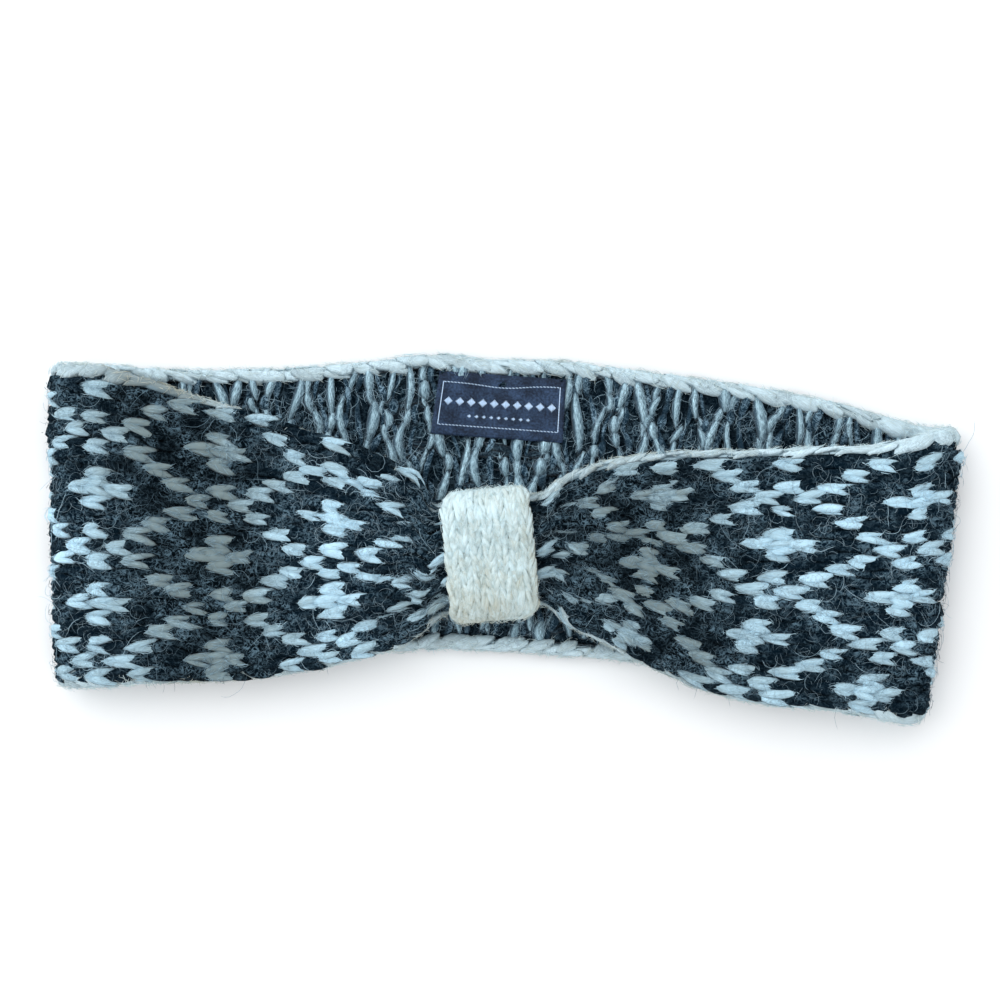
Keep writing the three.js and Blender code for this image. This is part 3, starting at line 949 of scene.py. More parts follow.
front_half = (chart_courses < BACK_COURSES[0]) | (chart_courses > BACK_COURSES[1])
shown = ~in_wrap(chart_courses.astype(float))
knit_pieces = []
stitches = {}
for layer, on_layer in (("front", front_half), ("back", ~front_half)):
    for colour, chosen, steps, sides, deeper, sink in (
        ("white", white, 9, 6, 0.0, GATHERED_SINK),
        ("dark", ~white, 7, 5, 0.2, 0.0),
    ):
        pick = on_layer & chosen & shown
        coarser = layer == "back"  # the side that lies on the table needs fewer faces
        seed = 11 + len(knit_pieces)
        steps = steps - 2 * coarser
        strands = legs(chart_courses[pick], chart_wales[pick], steps, deeper, sink, seed)
        stitches[layer, colour] = strands
        name = f"band_{layer}_{colour}"
        finish = wools[f"{colour}_wool"]
        piece = yarn_piece(name, strands, sides - coarser, finish, FLAT_LEG)
        knit_pieces.append(piece)

# %% [markdown]
# ## The floats on the inside
# On the inside of stranded knitting each yarn runs loosely behind the stitches of the other
# colour. Those floats run along the course, up and down in the picture. Straight cylinders would
# do for a tidy knit, but these hang in loose waves, and taper where they dive back into the fabric.


# %% The floats
def colour_runs(wanted):
    """Course, first wale, last wale of each run of stitches of one colour."""
    runs = []
    for course in range(COURSES):
        column_white = white[chart_courses == course]
        start = 1
        for wale in range(2, WALES + 1):
            ended = wale == WALES or column_white[wale - 1] != column_white[start - 1]
            if ended:
                if column_white[start - 1] == wanted:
                    runs.append((course, start, wale - 1))
                start = wale
    return np.array(runs, float)


print("runs of white:", len(colour_runs(True)), "and of dark:", len(colour_runs(False)))

# %% The floats' paths
# Columns: share of the way, height over the inner face and radius in mm.
FLOAT = (
    (0.0, -1.0, 0.3),
    (0.2, 0.05, 0.7),
    (0.4, 0.5, 1.0),
    (0.6, 0.5, 1.0),
    (0.8, 0.05, 0.7),
    (1.0, -1.0, 0.3),
)

POD_WALES = 8.5  # how far apart the dark pods between the waves lie
FLOAT_INSET = EDGING_WIDTH + 0.4


def floats(runs, offset, rise, thick, steps, seed):
    """Paths, radii and normals of the yarn that lies inside a run of stitches."""
    draw = np.random.default_rng(seed)
    shape = spline(FLOAT, steps)
    count = len(runs)
    share = shape[:, 0]
    hung = 0.8 * (runs[:, 1:2] < 1.5)  # a run at the upper edge starts under the edging
    first = runs[:, 1:2] - 0.9 - hung + draw.normal(0, 0.15, (count, 1))
    last = runs[:, 2:3] + 0.9 + draw.normal(0, 0.15, (count, 1))
    wale = blend(first, last, share)
    # Neighbouring courses wave towards and away from each other, which opens dark pods.
    pod_phase = math.pi * runs[:, :1] + 1.3 * np.sin(runs[:, :1] * 0.9)
    wave = 0.27 * np.sin(2 * math.pi * wale / POD_WALES + pod_phase)
    sway = draw.normal(0, 0.14, (count, 1)) * np.sin(math.pi * share)
    tilt = draw.normal(0, 0.16, (count, 1)) * (share - 0.5)
    course = runs[:, :1] + offset + wave + sway + tilt + draw.normal(0, 0.05, (count, 1))
    height = shape[:, 1] + rise + draw.normal(0, 0.12, (count, 1))
    radii = shape[:, 2] * thick * np.clip(draw.normal(1, 0.2, (count, 1)), 0.6, 1.5)
    across = np.clip(settle(course, wale), 0.0, 1.06)
    paths, normals = face(course, across, height, -1, FLOAT_INSET)
    return paths, radii + 0 * wale, normals


def joined(*groups):
    return tuple(np.concatenate(parts) for parts in zip(*groups))


def inside_strands(wanted, offset, rise, thick, steps, courses, seed):
    """One colour's floats, behind the other colour, and its bumps, behind its own."""
    groups = []
    for own, lower, thinner in ((not wanted, 0.0, 1.0), (wanted, 0.6, 0.8)):
        runs = colour_runs(own)
        runs = runs[(runs[:, 0] >= courses[0]) & (runs[:, 0] < courses[1])]
        groups.append(floats(runs, offset, rise - lower, thick * thinner, steps, seed + own))
    return joined(*groups)


print("steps of a float:", len(FLOAT), "in its table")

# %% The floats and what the label lies on
LAID_COURSES = (44, 96)
GATHERED_COURSES = (0, 44)
label_low, label_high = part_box("label")
label_middle = np.array((label_low + label_high) / 2) / METRES
UNDER_LABEL = (17.5, 9.0)  # half the width and the height within which the yarn is pressed down
BACK_HEIGHT = 8  # mm below which yarn belongs to the back layer


def clear_of_label(strands):
    """Presses down what the label lies on, so that nothing pokes through it."""
    paths, radii, normals = strands
    off_x = np.abs(paths[..., 0] - label_middle[0])
    off_y = np.abs(paths[..., 1] - label_middle[1])
    under = (off_x < UNDER_LABEL[0]) & (off_y < UNDER_LABEL[1]) & (paths[..., 2] < BACK_HEIGHT)
    low = np.minimum(paths[..., 2], label_low[2] / METRES - 0.7 * radii)
    paths[..., 2] = np.where(under, low, paths[..., 2])
    return paths, radii, normals


floats_laid = clear_of_label(inside_strands(True, 0.2, 0.1, 1.45, 8, LAID_COURSES, 21))
floats_dark = clear_of_label(inside_strands(False, -0.25, 0.0, 1.1, 8, LAID_COURSES, 24))
lining_white = inside_strands(True, 0.2, 0.1, 1.1, 6, GATHERED_COURSES, 27)
lining_dark = inside_strands(False, -0.25, 0.0, 1.0, 6, GATHERED_COURSES, 30)
for name, strands, finish in (
    ("band_floats_white", floats_laid, "inside_white"),
    ("band_floats_dark", floats_dark, "inside_dark"),
    ("band_lining_white", lining_white, "inside_white"),
    ("band_lining_dark", lining_dark, "inside_dark"),
):
    knit_pieces.append(yarn_piece(name, strands, 5, wools[finish], 0.8))

# %% [markdown]
# ## The edging
# A chain of white stitches closes each long edge and curls to the inside. Seen from the inside it
# is rows of long plump leaves over a row of rounded lobes, and from the outside a thin line. One
# twisted rope would look too even. So four tables give the strands' shapes, and each strand that is
# laid from a table differs a little.


# %% The edging's strands
def edging_ring(course, upper, angle, out):
    """A point round the edging's oval cord, and its outward direction."""
    run = run_of(course)
    at, turn = place_on_loop(run)
    across = 1 if upper else 0
    inset = EDGING_WIDTH / 2 + (EDGING_WIDTH / 2 + out) * np.cos(angle)
    height = (EDGING_HEIGHT / 2 + out) * np.sin(angle) - EDGING_CURL
    y = edge_at(run, across, inset)
    x, z, out_x, out_z = raised_over(at, turn, across, y, height)
    lean = -np.cos(angle) * (1 if upper else -1)
    outward = np.stack([out_x * np.sin(angle), lean, out_z * np.sin(angle)], -1)
    return np.stack([x, y + TO_FRAME_Y, z], -1), outward


print("the cord's section, in mm:", EDGING_WIDTH, "by", EDGING_HEIGHT)

# %% The shapes of the edging's strands
# Columns: along in courses, angle round the cord in degrees, radius in mm.
INNER_LOBE = ((0.85, -140, 0.4), (0.6, -118, 1.1), (0.2, -88, 1.5), (-0.2, -58, 1.5),
              (-0.55, -34, 1.1), (-0.8, -18, 0.4))
MIDDLE_LEAF = ((1.0, -165, 0.4), (0.6, -150, 1.1), (0.1, -132, 1.4), (-0.4, -112, 1.3),
               (-0.75, -95, 0.95), (-0.95, -82, 0.4))
EDGE_LEAF = ((0.85, -190, 0.4), (0.5, -184, 1.05), (0.0, -176, 1.3), (-0.5, -160, 1.05),
             (-0.85, -148, 0.4))
OUTER_LEAF = ((0.8, 190, 0.4), (0.4, 172, 0.95), (0.0, 150, 1.15), (-0.4, 122, 0.95),
              (-0.8, 85, 0.4))
FULLER = 0.5  # how much thicker the edging is near the folds
ROLLED_OUT = 42  # degrees by which its outer leaves turn out there
CORE_SINK = 0.7  # mm by which the core lies inside the cord's oval
# Round the folds the shade painted at the strands' sides fades out between the next two distances.
BARE_SIDES = (100, 116)  # mm from the middle between which the strands' sides turn pale


def near_fold(course):
    """0 along the layers, 1 round the folds."""
    at, _ = place_on_loop(run_of(course))
    return smooth(np.abs(at), 0.8, 0.95)


def edging_strands(upper, table, spacing, steps, seed):
    """One strand at every so many courses, each a little different."""
    draw = np.random.default_rng(seed)
    shape = spline(table, steps)
    own = np.arange(0, COURSES, spacing)[:, None]
    count = len(own)
    course = own + shape[:, 0] * draw.normal(1, 0.12, (count, 1)) + draw.normal(0, 0.2, (count, 1))
    ends = np.linspace(0, 1, steps) ** 2
    bend = draw.normal(0, 21, (count, 1)) * ends + draw.normal(0, 13, (count, 1))
    fold = near_fold(course)
    angle = np.radians(shape[:, 1] + bend - ROLLED_OUT * fold * (table is OUTER_LEAF))
    radii = shape[:, 2] * np.clip(draw.normal(1, 0.3, (count, 1)), 0.5, 1.5)
    radii = radii * (1 + FULLER * fold)
    out = 0.35 + FULLER * fold - 0.85 * radii + draw.normal(0, 0.25, (count, 1))
    paths, normals = edging_ring(course, upper, angle, out)
    return paths, radii, normals


def edging_core(upper):
    """Rings of the plain cord under the strands, and how far its outer side lies in shade."""
    course = np.linspace(0, COURSES, 288, endpoint=False)[:, None]
    angle = np.radians(np.arange(0, 360, 40))[None]
    if not upper:
        angle = -angle
    points, _ = edging_ring(course + 0 * angle, upper, angle + 0 * course, -CORE_SINK)
    return points, 0.95 * (1 - near_fold(course)) * smooth(np.cos(angle), -0.3, 0.7)


print("leaves thicken at the folds by", FULLER, "of their size")

# %% The two edgings
edging_pieces = []
edging_stitches = []
for node, upper in (("edging_upper", True), ("edging_lower", False)):
    core_rings, core_rim = edging_core(upper)
    core = shell(f"{node}_core", core_rings, wools["edging_shade"], core_rim)
    strands = joined(
        edging_strands(upper, INNER_LOBE, 1.6, 9, 31),
        edging_strands(upper, MIDDLE_LEAF, 1.2, 9, 34),
        edging_strands(upper, EDGE_LEAF, 1.0, 9, 32),
        edging_strands(upper, OUTER_LEAF, 1.0, 9, 33),
    )
    # At the folds one sees the strands' sides, so the shade painted on them fades out there and
    # they are as pale as their tops.
    rimmed = 1 - smooth(np.abs(strands[0][:, 4, :1]), *BARE_SIDES)
    finish = wools["edging_wool"]
    chain = yarn_piece(f"{node}_chain", strands, 7, finish, 0.85, rimmed)
    edging_stitches.append(strands)
    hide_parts(node)
    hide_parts(node)
    edging_pieces += [core, chain]

# %% [markdown]
# ## The wrap
# A short strip of cream knitting is closed into a ring round the gathered front. It could be a box
# with soft corners and a knitted texture, but its edge would give it away. So it is an oval ring of
# cloth with seven wales of small felted stitches that run round it.

# %% The way round the wrap
WRAP_WALES = 7
WRAP_ROWS = 32
RING_PLACES = 90
RIM_PLACES = 33
CLOTH_SINK = 0.75  # mm by which the cloth lies under the strip's face
CREASE_X = -2.6  # the shallow crease along the strip, from its middle
hole_y = KNOT_WIDTH / 2 + KNOT_CLEARANCE
hole_z = KNOT_THICKNESS / 2 + KNOT_CLEARANCE
# Columns: share of the width from the middle, share of the wall, share of the dome.
RIM = (
    (-0.42, 0.0, 0), (0, 0.0, 0), (0.42, 0.0, 0), (0.5, 0.25, 0), (0.5, 0.65, 0), (0.44, 1, 0),
    (0.26, 1, 0.75), (0, 1, 1), (-0.26, 1, 0.75), (-0.44, 1, 0), (-0.5, 0.65, 0), (-0.5, 0.25, 0),
)


def oval(share):
    """A place round the hole: Y, Z and the outward direction, from shares of the way round."""
    straight = 2 * (hole_y - hole_z)
    rounded = math.pi * hole_z
    half = straight + rounded
    along = np.mod(share, 1) * 2 * half
    side = np.where(along >= half, -1.0, 1.0)
    along = np.where(along >= half, along - half, along)
    turn = np.clip((along - straight) / hole_z, 0, None)
    normal_y = np.sin(turn) * side
    normal_z = np.cos(turn) * side
    flat_y = side * (along - straight / 2)
    y = np.where(along < straight, flat_y, side * straight / 2 + normal_y * hole_z)
    return y, normal_z * hole_z, normal_y, normal_z


def on_wrap(share, x, out):
    """Points at a height out from the hole, placed as the packed wrap is."""
    y, z, normal_y, normal_z = oval(share)
    y = y + normal_y * out
    z = z + normal_z * out
    x = x + 0 * y
    turned_x = x * math.cos(WRAP_TILT) - y * math.sin(WRAP_TILT)
    turned_y = x * math.sin(WRAP_TILT) + y * math.cos(WRAP_TILT)
    points = np.stack([turned_x, turned_y, z], -1) + wrap_middle
    side_x = -normal_y * math.sin(WRAP_TILT)
    side_y = normal_y * math.cos(WRAP_TILT)
    return points, np.stack([side_x, side_y, normal_z], -1)


print("the hole in the wrap, in mm:", round(2 * hole_y, 1), "by", round(2 * hole_z, 1))


# %% The wrap's cloth
def wrap_out(x, share):
    """How far the wrap's face stands out of the hole at a distance from its middle."""
    _, _, _, normal_z = oval(share)
    off = np.abs(x) / WRAP_WIDTH
    rim = 1.1 * smooth(off, 0.36, 0.52)
    crease = 0.45 * np.exp(-(((x - CREASE_X) / 1.5) ** 2)) * np.maximum(normal_z, 0)
    return WRAP_WALL + WRAP_DOME * np.maximum(normal_z, 0) * (1 - (2 * off) ** 2) - rim - crease


def wrap_bend(x, share):
    """The strip widens a little towards its bends, and its corners are rounded off."""
    _, _, normal_y, normal_z = oval(share)
    rolled = 1 - np.abs(normal_z)
    pulled = 0.27 * smooth(rolled, 0.04, 0.95) * (x * normal_y < 0)
    return x * (1 + 0.035 * smooth(rolled, 0.0, 0.35) - 0.13 * smooth(rolled, 0.35, 1.0) - pulled)


def wrap_ring():
    """Rings of the cloth that carries the stitches, a little under their faces."""
    share = np.linspace(0, 1, RING_PLACES, endpoint=False)[:, None]
    rim = spline([*RIM, RIM[0]], RIM_PLACES)[:-1]
    _, _, _, normal_z = oval(share)
    out = rim[:, 1] * (WRAP_WALL - CLOTH_SINK) + rim[:, 2] * WRAP_DOME * np.maximum(normal_z, 0)
    x = wrap_bend(rim[:, 0] * (WRAP_WIDTH - 1.4) + 0 * out, share)
    points, _ = on_wrap(share + 0 * out, x, out)
    return points


print("rings of the wrap's cloth:", wrap_ring().shape[0])

# %% The wrap's stitches
# Columns: along in rows, across in wales, depth below the face and radius in mm.
WRAP_LEG = (
    (-0.45, 0.03, 1.3, 0.3),
    (0.0, 0.1, 0.7, 0.66),
    (0.5, 0.19, 0.42, 0.86),
    (1.05, 0.29, 0.42, 0.84),
    (1.6, 0.4, 0.7, 0.62),
    (2.1, 0.48, 1.3, 0.25),
)


def wrap_strands():
    """Two thin plies lie side by side where one leg of a stitch is, as in a soft felted yarn."""
    draw = np.random.default_rng(41)
    shape = spline(WRAP_LEG, 7)
    rows, wales, sides, plies = np.meshgrid(
        np.arange(WRAP_ROWS),
        np.arange(WRAP_WALES) - 3,
        (-1.0, 1.0),
        (-0.5, 0.5),
        indexing="ij",
    )
    row, wale, side, ply = (grid.ravel()[:, None] for grid in (rows, wales, sides, plies))
    count = len(row)
    pitch = (WRAP_WIDTH - 1.0) / WRAP_WALES
    start = draw.uniform(0, 1, WRAP_WALES)[wale + 3]
    own = ply * 0.5 + start + draw.normal(0, 0.2, (count, 1))
    share = (row + shape[:, 0] + own) / WRAP_ROWS
    x = wale + side * shape[:, 1] + ply * 0.16 + draw.normal(0, 0.05, (count, 1))
    x = wrap_bend(x * pitch, share)
    radii = shape[:, 3] * draw.normal(1, 0.12, (count, 1))
    depth = shape[:, 2] + draw.normal(0, 0.08, (count, 1))
    paths, normals = on_wrap(share, x, wrap_out(x, share) - depth)
    return paths, radii + 0 * x, normals


wrap_stitches = wrap_strands()
wrap_cloth = shell("wrap_cloth", wrap_ring(), wools["cream_wool"])
wrap_yarn = yarn_piece(
    "wrap_yarn", wrap_stitches, 5, wools["cream_wool"], 0.7
)
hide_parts("wrap")
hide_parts("wrap")

# %% [markdown]
# ## The label
# A narrow woven strip is folded at its lower end and sewn on by its upper one. It has a fine
# twill, a thin woven border and two plain rows of small lozenges. The border and the lozenges
# could be drawn in the finish. As threads they catch the light, and they stay in the exported
# mesh.


# %% The label's weave
def label_weave():
    material, finish = new_finish("label_weave")
    place = finish.node("UVMap", {"uv_map": "Yarn"})
    ribs = finish.node(
        "TexWave",
        {"wave_type": "BANDS", "bands_direction": "DIAGONAL"},
        {"Vector": place, "Scale": 1.35, "Distortion": 0.4, "Detail": 1.0, "Detail Scale": 3.0},
        output="Fac",
    )
    specks = place.noise(1.7, 3.0)
    wear_and_shade = place.noise(0.2, 2.0)
    light = (ribs * 0.45 + specks * 1.7 + wear_and_shade * 1.5 - 1.55).clamped()
    height = ribs * 0.7 + specks * 0.5
    bump = finish.node("Bump", sockets={"Strength": 0.5, "Distance": 0.00015, "Height": height})
    finish.surface(
        {
            "Base Color": finish.mix(light, shade(10, 24, 42), shade(60, 84, 118)),
            "Roughness": 0.6 - specks * 0.15,
            "Normal": bump,
            "Sheen Weight": 0.04,
            "Sheen Roughness": 0.4,
            "Specular IOR Level": 0.2,
        }
    )
    return material


slate_weave = label_weave()
label_thread = wool(
    "label_thread", (200, 224, 250), (156, 182, 210), (218, 236, 252), 0.3, 0.0, 0.2
)
print("label finishes:", slate_weave.name, label_thread.name)

# %% A place on the label
LABEL_WIDTH = 35.4
LABEL_HEIGHT = 17.6
LABEL_TILT = math.radians(-4.1)
STRIP_THICK = 0.4
STRIP_BEND = 0.42  # radius of the fold at its lower end
label_base = label_low[2] / METRES


def on_label(x, y, z):
    """A place on the label, from its own middle, X along its width, Z over the inner face."""
    share_x = x / LABEL_WIDTH + 0.5
    share_y = 0.5 - y / LABEL_HEIGHT
    lift = 1.3 * share_x**3 * (0.35 + 0.65 * share_y) + 0.5 * share_y * (1 - share_x) ** 3
    wave = 0.25 * np.sin(x * 0.31 + 0.8) * share_y
    pinch = 0.3 * np.exp(-((x / 3.0) ** 2)) * (1 - share_y) ** 2
    z = z + label_base + (lift + wave - pinch) * (z > 0.3) + 0.1
    x = x + share_y * blend(-1.3, 0.3, share_x)
    turned_x = x * math.cos(LABEL_TILT) - y * math.sin(LABEL_TILT)
    turned_y = x * math.sin(LABEL_TILT) + y * math.cos(LABEL_TILT)
    return np.stack([turned_x + label_middle[0], turned_y + label_middle[1], z], -1)


print("the label lies at", label_middle.round(1).tolist(), "mm")


# %% The label's folded strip
def label_ring():
    """Rings round the strip's cross-section, one for each place along its width."""
    top = LABEL_HEIGHT / 2
    radius = STRIP_BEND
    straight = np.linspace(top, -top + radius, 14)
    turns = np.radians(np.arange(-90, 91, 30))[1:-1][::-1]
    middle_y = np.concatenate([straight, -top + radius - radius * np.cos(turns), straight[::-1]])
    middle_z = np.concatenate(
        [0 * straight + 2 * radius, radius + radius * np.sin(turns), 0 * straight]
    )
    middle_z = middle_z + STRIP_THICK / 2
    path = np.stack([middle_y, middle_z], -1)
    ahead = unit(np.gradient(path, axis=0))
    beside = np.stack([-ahead[:, 1], ahead[:, 0]], -1) * STRIP_THICK / 2
    outline = np.concatenate([path + beside, (path - beside)[::-1]])
    x = np.linspace(-LABEL_WIDTH / 2, LABEL_WIDTH / 2, 48)
    flat_x = x[:, None] + 0 * outline[:, 0]
    return on_label(flat_x, outline[:, 0] + 0 * flat_x, outline[:, 1] + 0 * flat_x)


print("points round the strip:", label_ring().shape[1])


# %% The label's cloth
def strip_piece(name, rings, material):
    """A body from rings of points that isn't a loop: both ends are closed by strips of quads."""
    count, size, _ = rings.shape
    i = np.arange(count - 1)[:, None]
    j = np.arange(size)
    beside = (j + 1) % size
    a, b = i * size + j, i * size + beside
    c, d = (i + 1) * size + beside, (i + 1) * size + j
    k = np.arange(size // 2 - 1)
    first = np.stack([k, size - 1 - k, size - 2 - k, k + 1], -1)
    last = (count - 1) * size + first[:, ::-1]
    faces = np.concatenate([np.stack([a, b, c, d], -1).reshape(-1, 4), first, last])
    points = rings.reshape(-1, 3).copy()
    place = points[faces.ravel()][:, :2]
    wide = place - place.min(axis=0)
    # The bake's own map: the long faces take nine tenths of it, and the two ends a strip each.
    u = np.stack([i + 0 * j, i + 0 * j, i + 1 + 0 * j, i + 1 + 0 * j], -1) * 0.9 / (count - 1)
    v = np.stack([j + 0 * i, j + 1 + 0 * i, j + 1 + 0 * i, j + 0 * i], -1) / size
    end_u = np.array((0.0, 0.03, 0.03, 0.0)) + 0 * first
    end_v = np.stack([k, k, k + 1, k + 1], -1) / len(k)
    bake = np.concatenate(
        [
            np.stack([u, v], -1).reshape(-1, 2),
            np.stack([0.92 + end_u, end_v], -1).reshape(-1, 2),
            np.stack([0.96 + end_u, end_v], -1).reshape(-1, 2),
        ]
    )
    strand = np.full(len(points), 0.5)
    piece = fill_mesh(
        name, points, faces.tolist(), wide, bake, strand, np.zeros(len(points)), material
    )
    print(f"{name}: {2 * len(faces)} triangles")
    return piece


label_cloth = strip_piece("label_cloth", label_ring(), slate_weave)
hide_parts("label")

# %% The label's border and lozenges
LABEL_TOP = 1.24  # height of the upper layer's face over the label's base
BORDER_X = 16.2
BORDER_TOP = 5.9
BORDER_BOTTOM = -6.1


def label_stroke(start, end, radius, steps=5):
    """One thread from start to end on the label's face, as path, radii and normals."""
    share = np.linspace(0, 1, steps)
    x = blend(start[0], end[0], share)
    y = blend(start[1], end[1], share)
    y = y - (0.7 * np.exp(-((x / 7.0) ** 2)) - 0.5 * smooth(x, 2, 14)) * smooth(y, 2, BORDER_TOP)
    height = LABEL_TOP - 0.05 + 0.5 * radius * np.sin(math.pi * share)
    path = on_label(x, y, height)
    radii = radius * (0.55 + 0.45 * np.sin(math.pi * share))
    return path, radii, np.tile((0.0, 0.0, 1.0), (steps, 1))


def stacked(strokes):
    """All the strokes as one group of strands."""
    return tuple(np.stack(parts) for parts in zip(*strokes))


BORDER_STITCH = 0.95
SIDE_STITCH = 0.75
strokes = []
for y in (BORDER_TOP, BORDER_BOTTOM):
    for x in np.arange(-BORDER_X, BORDER_X - 0.2, BORDER_STITCH):
        strokes.append(label_stroke((x, y + 0.16), (x + BORDER_STITCH, y - 0.16), 0.14))
for x in (-BORDER_X, BORDER_X):
    for y in np.arange(BORDER_BOTTOM, BORDER_TOP - 0.1, SIDE_STITCH):
        strokes.append(label_stroke((x, y - 0.2), (x, y + 1.0), 0.16))
# Each row of lozenges: how many, their spacing, half their height and the row's place.
for count, spacing, tall, low in ((10, 3.15, 1.4, 0.6), (9, 2.0, 0.6, -3.3)):
    for k in range(count):
        middle = (k - (count - 1) / 2) * spacing
        wide = tall * 0.75
        for offset in np.arange(-wide, wide + 0.01, 0.25):
            reach = tall * (1.12 - abs(offset) / wide)
            start = (middle + offset, low - reach)
            strokes.append(label_stroke(start, (middle + offset, low + reach), 0.15))
border = stacked(strokes)
label_border = yarn_piece("label_border", border, 5, label_thread)

# %% The tacks that hold the label
TACKS = ((-16.9, 8.4), (-16.3, 8.9), (-0.3, 6.6), (0.2, 7.0), (0.7, 6.6), (16.7, 8.2), (17.1, 8.7))
tacks = stacked([label_stroke((x - 0.5, y - 0.7), (x + 0.4, y + 0.9), 0.3) for x, y in TACKS])
label_tacks = yarn_piece("label_tacks", tacks, 6, wools["dark_wool"])

# %% [markdown]
# ## Fuzz
# Loose fibres stand off the whole surface. Blender's hair would not survive the export as a mesh,
# so the fibres are very thin tubes too. Each one wanders over the face in a curl of its own.


# %% Long curly fibres
def curly(points, normals, length, curl, height, lift, radius, steps, seed):
    """Strands that start at points and wander over the surface round them."""
    draw = np.random.default_rng(seed)
    count = len(points)
    cross = np.tile((0.0, 1.0, 0.0), (count, 1))
    along = unit(np.cross(cross, normals))
    beside = unit(np.cross(normals, along))
    bends = draw.normal(0, 1, (count, 1)) * curl + draw.normal(0, 0.16, (count, steps - 1))
    heading = draw.uniform(0, 2 * math.pi, (count, 1)) + bends.cumsum(axis=1)
    step = length * draw.uniform(0.5, 1.5, (count, 1)) / (steps - 1)
    start = np.zeros((count, 1))
    a = np.concatenate([start, (np.cos(heading) * step).cumsum(axis=1)], axis=1)
    b = np.concatenate([start, (np.sin(heading) * step).cumsum(axis=1)], axis=1)
    share = np.linspace(0, 1, steps)
    rise = height + lift * draw.uniform(0.2, 1.6, (count, 1)) * np.sin(math.pi * share)
    paths = (
        points[:, None]
        + a[..., None] * along[:, None]
        + b[..., None] * beside[:, None]
        + rise[..., None] * normals[:, None]
    )
    radii = radius * draw.uniform(0.7, 1.3, (count, 1)) + 0 * share
    return paths, radii, np.repeat(normals[:, None], steps, axis=1)


def fuzz(count, side, courses, height, lift, length, curl, radius, steps, seed):
    """Fibres spread over one face, between two courses."""
    draw = np.random.default_rng(seed)
    course = draw.uniform(*courses, count)
    wale = draw.uniform(0.7, WALES - 0.7, count)
    inset = None if side > 0 else EDGING_WIDTH
    points, normals = face(course, settle(course, wale), -0.25, side, inset)
    shown = ~(in_wrap(course) & (side > 0))
    return curly(
        points[shown], normals[shown], length, curl, height, lift, radius, steps, seed + 1
    )


FRONT = (-3, 45)  # courses
BACK = (45, 93)
for name, strands, finish in (
    ("band_fuzz_front", fuzz(3200, 1, FRONT, 0.15, 0.4, 5.0, 0.5, 0.042, 7, 51), "light_fibre"),
    ("band_fuzz_long", fuzz(240, 1, FRONT, 0.4, 0.8, 9.0, 0.34, 0.05, 9, 59), "pale_fibre"),
    ("band_fuzz_under", fuzz(500, 1, BACK, 0.05, 0.1, 5.0, 0.6, 0.05, 5, 53), "light_fibre"),
    ("band_fuzz_inside", fuzz(2600, -1, BACK, 0.7, 0.9, 5.0, 0.5, 0.045, 6, 55), "pale_fibre"),
):
    strands = clear_of_label(strands) if name == "band_fuzz_inside" else strands
    knit_pieces.append(yarn_piece(name, strands, 3, wools[finish]))


# %% Short fluff that lies along the strands
FLUFF_STEPS = 4


def fluff(strands, count, length, spread, radius, seed):
    """Short fibres that start on the strands and lie roughly along them."""
    paths, radii, normals = strands
    draw = np.random.default_rng(seed)
    which = draw.integers(0, len(paths), count)
    place = draw.integers(1, paths.shape[1] - 1, count)
    base = paths[which, place]
    normal = normals[which, place]
    ahead = unit(paths[which, place + 1] - paths[which, place - 1])
    beside = unit(np.cross(ahead, normal))
    around = draw.uniform(-1.5, 1.5, (count, 1))
    out = unit(normal * np.cos(around) + beside * np.sin(around))
    start = base + out * radii[which, place][:, None]
    turn = draw.normal(0, spread, (count, 1))
    heading = ahead * np.cos(turn) + np.cross(out, ahead) * np.sin(turn)
    heading = heading * draw.choice((-1.0, 1.0), (count, 1))
    reach = length * draw.uniform(0.5, 1.5, (count, 1, 1))
    share = np.linspace(-0.5, 0.5, FLUFF_STEPS)[:, None]
    lift = draw.uniform(0.0, 0.35, (count, 1, 1)) * (0.25 - share**2) * 4
    bow = draw.normal(0, 0.25, (count, 1, 1)) * (0.25 - share**2) * 4
    fibres = (
        start[:, None]
        + heading[:, None] * share * reach
        + out[:, None] * lift
        + np.cross(out, heading)[:, None] * bow
    )
    thick = radius * draw.uniform(0.7, 1.3, (count, 1)) + 0 * share[:, 0]
    return fibres, thick, np.repeat(out[:, None], FLUFF_STEPS, axis=1)


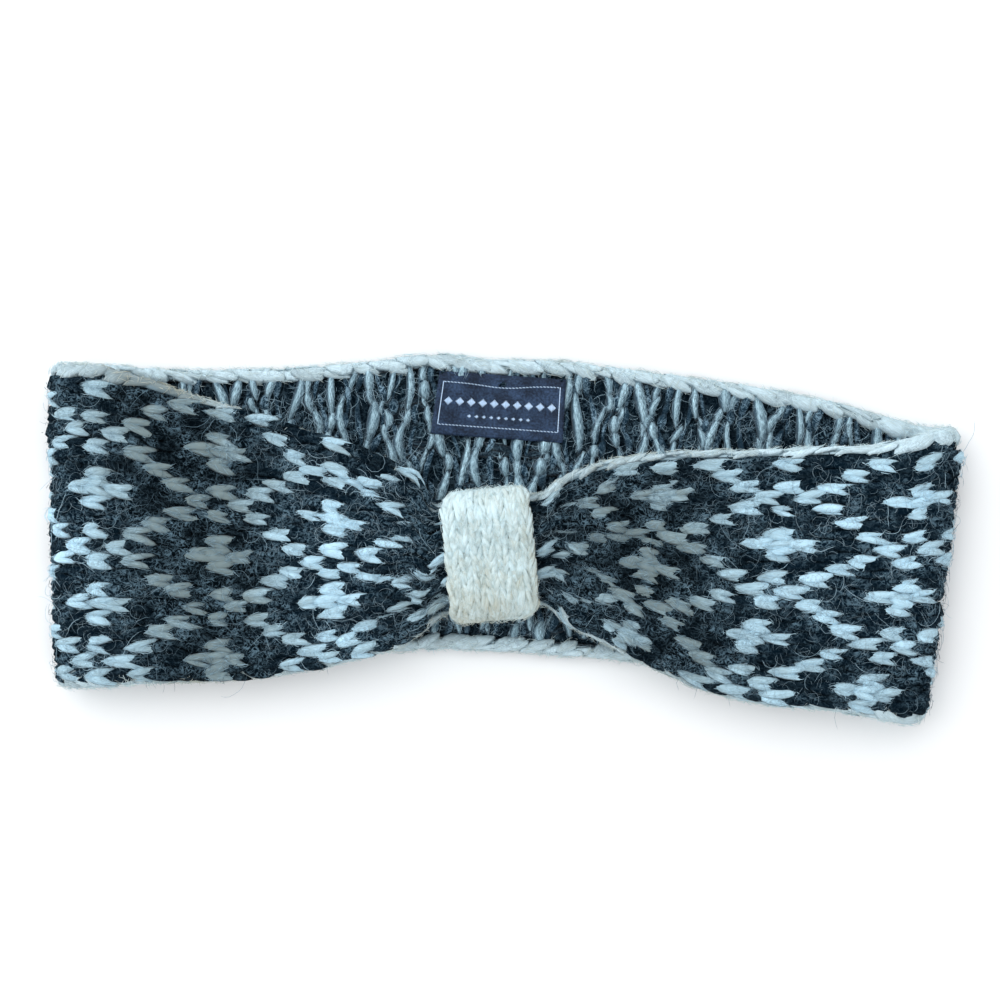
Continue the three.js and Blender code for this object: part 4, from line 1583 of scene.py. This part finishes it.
for name, strands, count, length, spread, radius, finish in (
    ("band_fluff_white", stitches["front", "white"], 8500, 3.0, 0.55, 0.065, "white_fibre"),
    ("band_fluff_dark", stitches["front", "dark"], 3000, 3.0, 0.7, 0.06, "dark_fibre"),
    ("band_fluff_inside", floats_laid, 7000, 3.4, 0.8, 0.055, "pale_fibre"),
):
    strands = fluff(strands, count, length, spread, radius, 71 + len(name))
    knit_pieces.append(yarn_piece(name, strands, 3, wools[finish]))
for node, strands, seed in zip(("edging_upper", "edging_lower"), edging_stitches, (74, 75)):
    strands = fluff(strands, 3900, 3.2, 1.0, 0.07, seed)
    piece = yarn_piece(f"{node}_fluff", strands, 3, wools["cream_fibre"])
    edging_pieces.append(piece)
strands = fluff(wrap_stitches, 3800, 2.8, 0.7, 0.065, 76)
wrap_fibres = yarn_piece("wrap_fluff", strands, 3, wools["cream_fibre"])

# The loop was knitted as a tube, so its flat length is the way round it.

# %% The loop's flat length
loop_run * METRES

# %% [markdown]
# ## Table and light
# The photograph has a pure white ground with almost no shadow, and a soft cool light that comes a
# little from the upper left. A wide pale floor, a bright world and one large lamp give that.


# %% The floor
def pale_floor():
    material, finish = new_finish("pale_floor")
    place = finish.node("TexCoord", output="Object")
    colour = finish.mix(place.noise(6.0, 2.0), (0.93, 0.93, 0.93, 1), (0.95, 0.95, 0.95, 1))
    finish.surface({"Base Color": colour, "Roughness": 0.9})
    return material


FLOOR_HALF = 4.0
floor_mesh = bpy.data.meshes.new("floor")
corners = [(x * FLOOR_HALF, y * FLOOR_HALF, 0) for x, y in ((-1, -1), (1, -1), (1, 1), (-1, 1))]
floor_mesh.from_pydata(corners, [], [(0, 1, 2, 3)])
floor_mesh.materials.append(pale_floor())
floor = bpy.data.objects.new("floor", floor_mesh)
bpy.context.collection.objects.link(floor)
print("floor made")

# %% The lamp and the world
lamp_data = bpy.data.lights.new("window", "AREA")
lamp_data.shape = "SQUARE"
lamp_data.size = 2.4
lamp_data.energy = 22.0
lamp_data.color = (0.93, 0.97, 1.0)
lamp = bpy.data.objects.new("window", lamp_data)
lamp.location = (-0.75, 0.75, 1.05)
lamp.rotation_euler = (-lamp.location).to_track_quat("-Z", "Y").to_euler()
bpy.context.collection.objects.link(lamp)

world = bpy.data.worlds.new("studio")
world.use_nodes = True
sky = world.node_tree.nodes["Background"]
sky.inputs["Color"].default_value = (0.97, 0.985, 1.0, 1.0)
sky.inputs["Strength"].default_value = 0.92
bpy.context.scene.world = world
bpy.context.scene.view_settings.view_transform = "Standard"
print("light made")

# %% [markdown]
# ## The size
# The yarn may stand a little proud of the solids, but the object keeps its size.
